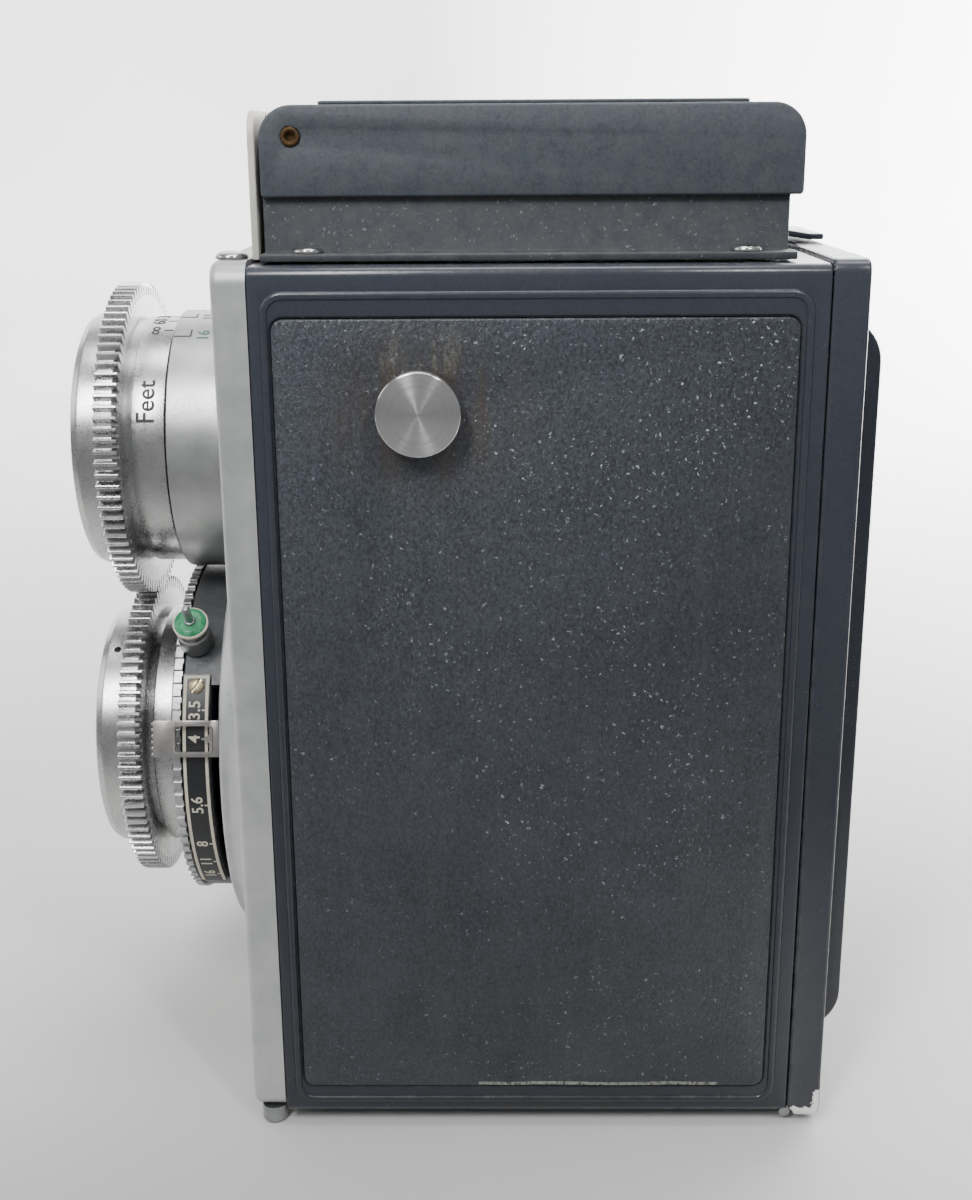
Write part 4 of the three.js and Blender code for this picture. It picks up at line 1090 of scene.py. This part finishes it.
scalePlate = {"inner": 23.7, "radius": 24.05, "front": -46.5, "rear": -42.95, "from": -47, "to": 36}
scaleMesh = sectorMesh(scalePlate["inner"], scalePlate["radius"], scalePlate["from"], scalePlate["to"],
                       scalePlate["front"], scalePlate["rear"], takingZ)
addPiece("scalePlate", scaleMesh, "body", ["aperture_scale_plate"], scaleBlack, 30)
scaleMarks = []
arc = math.radians(1) * scalePlate["radius"]  # millimetres in one degree
low, high = (scalePlate["from"] + 0.6) * arc, (scalePlate["to"] - 0.6) * arc
rear, front = -scalePlate["rear"], -scalePlate["front"]
border = 0.4
scaleMarks += [stripMesh(low, high, front - 0.12 - border, front - 0.12),
               stripMesh(low, high, rear + 0.12, rear + 0.12 + border),
               stripMesh(high - border, high, rear + 0.12, front - 0.12)]
for words, angle in (("3.5", 24.3), ("4", 15.3), ("5.6", -6.8), ("8", -22.6), ("11", -32), ("16", -40.5)):
    scaleMarks.append(textMesh(words, 2.15, angle * arc, rear + 1.85))
    scaleMarks.append(stripMesh(angle * arc - 0.1, angle * arc + 0.1, rear + 0.5, rear + 0.95))
addPiece("scaleMarks", wrapped(joined(scaleMarks), scalePlate["radius"], takingZ), "body", [],
         cream, 60)
plateScrew = screwMaster(1.05, 0.45, 0.3, 0.34)
plateScrew.transform(Matrix.Rotation(math.radians(-35), 4, "Z"))
plateScrew.transform(Matrix.Translation((24.0 * mm, -44.7 * mm, 0)) @ Matrix.Rotation(math.pi / 2, 4, "Y"))
addPiece("scaleScrew", turnedTo(plateScrew, 32.0, takingZ), "body", [], paleBrass)


def leverMesh():
    # a sprung strip: two tabs and two bars round a window over the scale, with a raised rim and a pointer
    front, rear, low, top, half = (lever[name] for name in ("front", "rear", "low", "top", "half"))
    window, rim = lever["window"], lever["rim"]
    w0, w1, wh = window["front"], window["rear"], window["half"]
    boxes = [((low, front + 0.25, -half), (top, w0, half)), ((low, w1, -half), (top, rear, half)),
             ((low, w0 - 0.05, wh), (top, w1 + 0.05, half)), ((low, w0 - 0.05, -half), (top, w1 + 0.05, -wh)),
             ((19.0, -42.75, -2), (low + 0.1, -41.95, 2))]
    step = 2 * half / lever["teeth"]
    for k in range(lever["teeth"]):  # small grip teeth on the front edge
        v = -half + step * k
        boxes.append(((low, front, v + step * 0.15), (top, front + 0.3, v + step * 0.7)))
    bars = [softened(boxMesh(*box), 0.07) for box in boxes]
    frameOutline = [roundedOutline(w0 - rim, w1 + rim, -wh - rim, wh + rim, [0.6] * 4, 4),
                    roundedOutline(w0, w1, -wh, wh, [0.35] * 4, 4)]
    raised = placed(flatShape(frameOutline, 0.24), "right", (top + 0.08, 0, 0))
    arrow = [(w1 + 0.2, -0.7), (w1 + 0.2, 0.7), (w1 - 1.2, 0)]
    pointer = placed(flatShape([arrow], 0.4), "right", (low + 0.3, 0, 0))
    return turnedTo(joined(bars + [raised, pointer]), lever["angle"], takingZ)


addPiece("apertureLever", leverMesh(), "aperture", ["aperture_lever"], leverNickel, 40)
irisProfile = [(6, -42.75), (18.6, -42.75, 0.1), (18.6, -41.95, 0.1), (6, -41.95)]
addPiece("irisRing", aroundLens(irisProfile, takingZ, 96), "aperture", ["iris_ring"],
         innerBlack)
addPiece("releaseLever", refined("release_lever", 0.2, 3), "release", ["release_lever"],
         screwNickel)
for word in ("upper", "lower"):
    addPiece(word + "Blade", refined("shutter_blade_" + word, 0.04, 1), word + "_blade",
             ["shutter_blade_" + word], steel)

sync = {"angle": 47, "y": -45.1, "from": 24, "top": 29.2}
top = sync["top"]
syncShapes = {
    "syncPost": ([(1.7, sync["from"]), (2.25, sync["from"], 0.1), (2.2, top - 2.2, 0.2),
                  (2.0, top - 1.9, 0.1), (2.0, top - 0.5, 0.1), (1.7, top - 0.5)],
                 "sync_post", "steel", steel),
    "syncInsulator": ([(0, top - 0.6), (1.75, top - 0.5), (2.12, top - 0.1, 0.1), (2.12, top + 0.15, 0.15),
                       (1.5, top + 0.42, 0.3), (0, top + 0.45)], "sync_insulator", "green_fibre", greenFibre),
    "syncPin": ([(0, top + 0.4), (0.8, top + 0.42, 0.08), (0.7, top + 0.75, 0.1), (0.55, top + 0.8),
                 (0.55, top + 3.4, 0.25), (0.3, top + 3.75, 0.15), (0, top + 3.75)],
                "sync_pin", "steel", steel),
    "syncRim": ([(1.95, top - 0.52), (2.3, top - 0.5, 0.08), (2.34, top - 0.02, 0.08),
                 (2.05, top + 0.04, 0.05)], None, "green_fibre", cream),
}
for name, (profile, node, slot, material) in syncShapes.items():
    shape = turnedTo(lathe(profile, "x", (0, 0, 0), 64), sync["angle"], takingZ, sync["y"])
    addPiece(name, shape, "body", [node] if node else [], material)
print("shutter made")


# hood, back and film parts

plainParts = [  # CAD part, bevel, body, slot, finish
    ("hood_lid", 0.3, "lid", "black_enamel", hoodPaint),
    ("hood_cap", 0.16, "lid", "black_enamel", hoodPaint),
    ("left_flap", 0.05, "left_flap", "black_enamel", innerBlack),
    ("right_flap", 0.05, "right_flap", "black_enamel", innerBlack),
    ("rear_flap", 0.05, "rear_flap", "black_enamel", innerBlack),
    ("back_cover", 0.35, "back", "black_enamel", coverEnamel),
    ("back_latch", 0.12, "latch", "black_enamel", enamel),
    ("window_shutter", 0.1, "window_shutter", "steel", innerBlack),
    ("pressure_plate", 0.15, "back", "steel", innerBlack),
    ("pressure_spring", 0.05, "back", "steel", steel),
    ("red_window", 0.1, "back", "red_glass", redGlass),
    ("film_gate", 0.12, "body", "black_enamel", innerBlack),
    ("reflex_mirror", 0.15, "body", "mirror_glass", mirrorGlass),
    ("ground_glass", 0.2, "body", "ground_glass", screenGlass),
    ("tripod_bush", 0.15, "body", "steel", steel),
]
for node, bevel, carrier, slot, material in plainParts:
    words = node.split("_")
    name = words[0] + "".join(word.capitalize() for word in words[1:])
    # the back cover's wide flat faces are kept from blending into their rounded edges
    sharp = 20 if node == "back_cover" else sharpAngle
    addPiece(name, refined(node, bevel, merge=node != "hood_lid"), carrier, [node], material, sharp)

magnifier = {"z": 125.6, "centre": 14.5, "ring": 12.5, "bore": 10.9, "lens": 10.6, "seat": 12.2, "half": 0.9}
z = magnifier["z"]
low, high = z - magnifier["half"], z + magnifier["half"]
rimProfile = [(magnifier["bore"], low, 0.15), (magnifier["ring"], low, 0.2), (magnifier["ring"], high, 0.2),
              (magnifier["bore"], high, 0.15)]
seat = lathe([(0, z - 3), (magnifier["seat"], z - 3), (magnifier["seat"], z + 3), (0, z + 3)], "z",
             (0, magnifier["centre"], 0), 64)
armFrame = cutAway(refined("magnifier_frame", 0.1, 1), [seat])
addPiece("magnifierFrame", joined([armFrame, lathe(rimProfile, "z", (0, magnifier["centre"], 0), 96)]),
         "magnifier", ["magnifier_frame"], innerBlack)
bulge = [(0, z - 1.5)]
steps = 8
for k in range(1, steps + 1):
    share = k / steps
    bulge.append((magnifier["lens"] * share, z - 0.5 - (1 - share * share)))
bulge += [(radius, 2 * z - place) for radius, place in reversed(bulge)]
addPiece("magnifierLens", lathe(bulge, "z", (0, magnifier["centre"], 0), 96), "magnifier", ["magnifier_lens"],
         lensGlass, 50)

pivot = {"y": -27.85, "z": 124.7}
pivotProfile = [(0, 29.9), (0.95, 29.9), (0.95, 32.0), (1.05, 32.05), (1.05, 32.25, 0.1), (0.75, 32.3, 0.08),
                (0.5, 32.1, 0.1), (0.5, 31.6), (0, 31.6)]
pivotMesh = lathe(pivotProfile, "x", (0, pivot["y"], pivot["z"]), 40)
for side, word in ((1, "left"), (-1, "right")):
    addPiece("lidPivot" + word.capitalize(), flipped(pivotMesh, side), "lid", ["lid_pivot_" + word],
             brass)

hingeMesh = lathe([(0, -36.5), (0.75, -36.5, 0.2), (0.75, 36.5, 0.2), (0, 36.5)], "x", (0, 32.6, 1.35), 32)
addPiece("hingeRod", hingeMesh, "body", ["back_hinge_rod"], steel)

knob = {"y": 17.5, "z": 81.8, "ridges": 56}
knobProfile = [(0, -33), (2.9, -33), (2.9, -38.2), (8.3, -38.2, 0.2), (8.7, -38.8, 0.2), (8.7, -47.3, 0.3),
               (8.0, -48.2, 0.4), (6.2, -48.2, 0.2), (5.8, -47.8, 0.2), (0, -47.8)]
knobMesh = lathe(knobProfile, "x", (0, knob["y"], knob["z"]), 112)
addPiece("windingKnob", knobMesh, "knob", ["winding_knob"], screwNickel, 30)
ridgeMaster = prism([(8.5, -0.34), (9.0, -0.12), (9.0, 0.12), (8.5, 0.34)], 39.2, 46.9, 0.04)
ridges = ringMesh(ridgeMaster, knob["ridges"], (0, knob["y"], knob["z"]), screwNickel,
                  turn=(0, 0, math.pi / 2))
addPiece("knobRidges", ridges, "knob", ["winding_knob"], screwNickel, 30)

spoolProfile = [(4.6, -32.5), (12.4, -32.5, 0.15), (12.4, -31.7, 0.15), (5.5, -31.7, 0.4), (5.5, 31.7, 0.4),
                (12.4, 31.7, 0.15), (12.4, 32.5, 0.15), (4.6, 32.5)]
for word, y, z in (("takeup", 17.5, 81.8), ("supply", -9, 16.1)):
    addPiece(word + "Spool", lathe(spoolProfile, "x", (0, y, z), 96), word, [word + "_spool"],
             innerBlack)
rollerProfile = [(0, -30.8), (1.8, -30.8, 0.2), (1.8, 30.8, 0.2), (0, 30.8)]
for word, z in (("upper", takingZ + 31.5), ("lower", takingZ - 33.4)):
    addPiece(word + "Roller", lathe(rollerProfile, "x", (0, 26, z), 48), word + "_roller", [word + "_roller"],
             steel)
print("hood, back and film parts made")


# stage

stage = {"rear": -750, "front": 1100, "half": 1100, "height": 1000, "bend": 350, "glow": 9.0}


def clothFinish():
    # a pale cloth; the far part glows as painted light from behind, the right side is painted lighter, the
    # part past X = 30 mm is painted darker as shadow, and the folds are painted shade
    material, tree, shader = newMaterial("paleFloor")
    at = axesOf(tree, placeOn(tree))
    # painted shade: a slow noise darkens the cloth in broad folds
    paintedFoldShade = noiseOn(tree, placeOn(tree), 6.0, 2.0)
    cloth = mixColour(tree, paintedFoldShade, tone(182, 182, 180), tone(194, 194, 192))
    # painted light: the cloth is painted lighter towards the right
    cloth = mixColour(tree, spread(tree, at["Y"], -0.05, 0.12), cloth, tone(232, 232, 230))
    # painted shadow: the floor on the +X side of the body, past X = 30 mm, is painted darker
    cloth = mixColour(tree, spread(tree, at["X"], 0.03, 0.14), cloth, tone(100, 100, 100))
    # painted light: the glow of the far part, stronger towards the right and varied by the folds
    shine = times(tree, spread(tree, paintedFoldShade, 0.2, 0.8, 0.8, 1.0), spread(tree, at["Y"], -0.05, 0.3, 0.3, 1.0))
    far = times(tree, spread(tree, at["X"], -0.02, -0.6), shine)
    feed(tree, shader, {"Base Color": cloth, "Roughness": 0.9, "Emission Strength": stage["glow"],
                        "Emission Color": mixColour(tree, far, (0, 0, 0, 1), (1, 1, 1, 1))})
    return material


def sweepMesh():
    # floor and backdrop in one bent sheet
    profile = [(stage["front"], -0.02), (stage["rear"] + stage["bend"], -0.02)]
    steps = 12
    for k in range(1, steps + 1):
        angle = math.pi / 2 * k / steps
        profile.append((stage["rear"] + stage["bend"] * (1 - math.sin(angle)),
                        stage["bend"] * (1 - math.cos(angle))))
    profile.append((stage["rear"], stage["height"]))
    shape = bmesh.new()
    rows = [[shape.verts.new(Vector((x, side * stage["half"], z)) * mm) for side in (-1, 1)]
            for x, z in profile]
    for first, second in zip(rows, rows[1:]):
        shape.faces.new([first[0], first[1], second[1], second[0]])
    mesh = asMesh(shape, "sweep")
    mesh.shade_smooth()
    return mesh


floorMesh = sweepMesh()
floorMesh.materials.append(clothFinish())
inScene("floor", floorMesh)

world = bpy.data.worlds.new("studio")
bpy.context.scene.world = world
world.use_nodes = True
tree = world.node_tree
around = axesOf(tree, addNode(tree, "ShaderNodeTexCoord").outputs["Generated"])
walls = mixColour(tree, spread(tree, around["X"], 0.25, -0.45), tone(156, 157, 160), tone(150, 151, 152))
sky = mixColour(tree, spread(tree, around["Z"], 0.62, 1.0), walls, tone(214, 216, 220))
feed(tree, tree.nodes["Background"], {"Color": sky, "Strength": 1.0})


def areaLight(name, place, aim, size, power):
    light = bpy.data.lights.new(name, "AREA")
    light.shape = "RECTANGLE"
    light.size, light.size_y = size
    light.energy = power
    lamp = inScene(name, light)
    lamp.location = place
    lamp.rotation_euler = (Vector(aim) - Vector(place)).to_track_quat("-Z", "Y").to_euler()


areaLight("keyFront", (0.42, -0.19, 0.5), (0, -0.04, 0.07), (0.1, 0.26), 2.6)
areaLight("keyRear", (0.42, 0.22, 0.5), (0, 0, 0.07), (0.04, 0.1), 1.0)
areaLight("ceiling", (0.0, 0.03, 1.6), (0, 0.03, 0.06), (0.5, 0.9), 11)
areaLight("backLight", (-0.9, 0.6, 1.3), (0, 0.1, 0.06), (1.2, 0.8), 9)
areaLight("frontFill", (0.1, -1.3, 0.7), (0, 0, 0.06), (0.8, 0.6), 4)

view = {"place": (211.67, -4.20, 124.23), "lens": 46.18, "yaw": -0.65, "pitch": 16.65, "roll": -0.38}


def addCamera():
    yaw, pitch, roll = (math.radians(view[name]) for name in ("yaw", "pitch", "roll"))
    ahead = Vector((-math.cos(yaw), math.sin(yaw), 0))
    right = Vector((math.sin(yaw), math.cos(yaw), 0))
    up = Vector((0, 0, 1))
    down = ahead * math.cos(pitch) - up * math.sin(pitch)
    lifted = up * math.cos(pitch) + ahead * math.sin(pitch)
    across = right * math.cos(roll) + lifted * math.sin(roll)
    upright = lifted * math.cos(roll) - right * math.sin(roll)
    camera = bpy.data.cameras.new("camera")
    camera.lens = view["lens"]
    camera.sensor_width = 36
    camera.clip_start = 0.01
    holder = inScene("camera", camera)
    turn = Matrix((across, upright, -down)).transposed().to_4x4()
    holder.matrix_world = Matrix.Translation(Vector(view["place"]) * mm) @ turn
    bpy.context.scene.camera = holder


addCamera()
print("stage made")
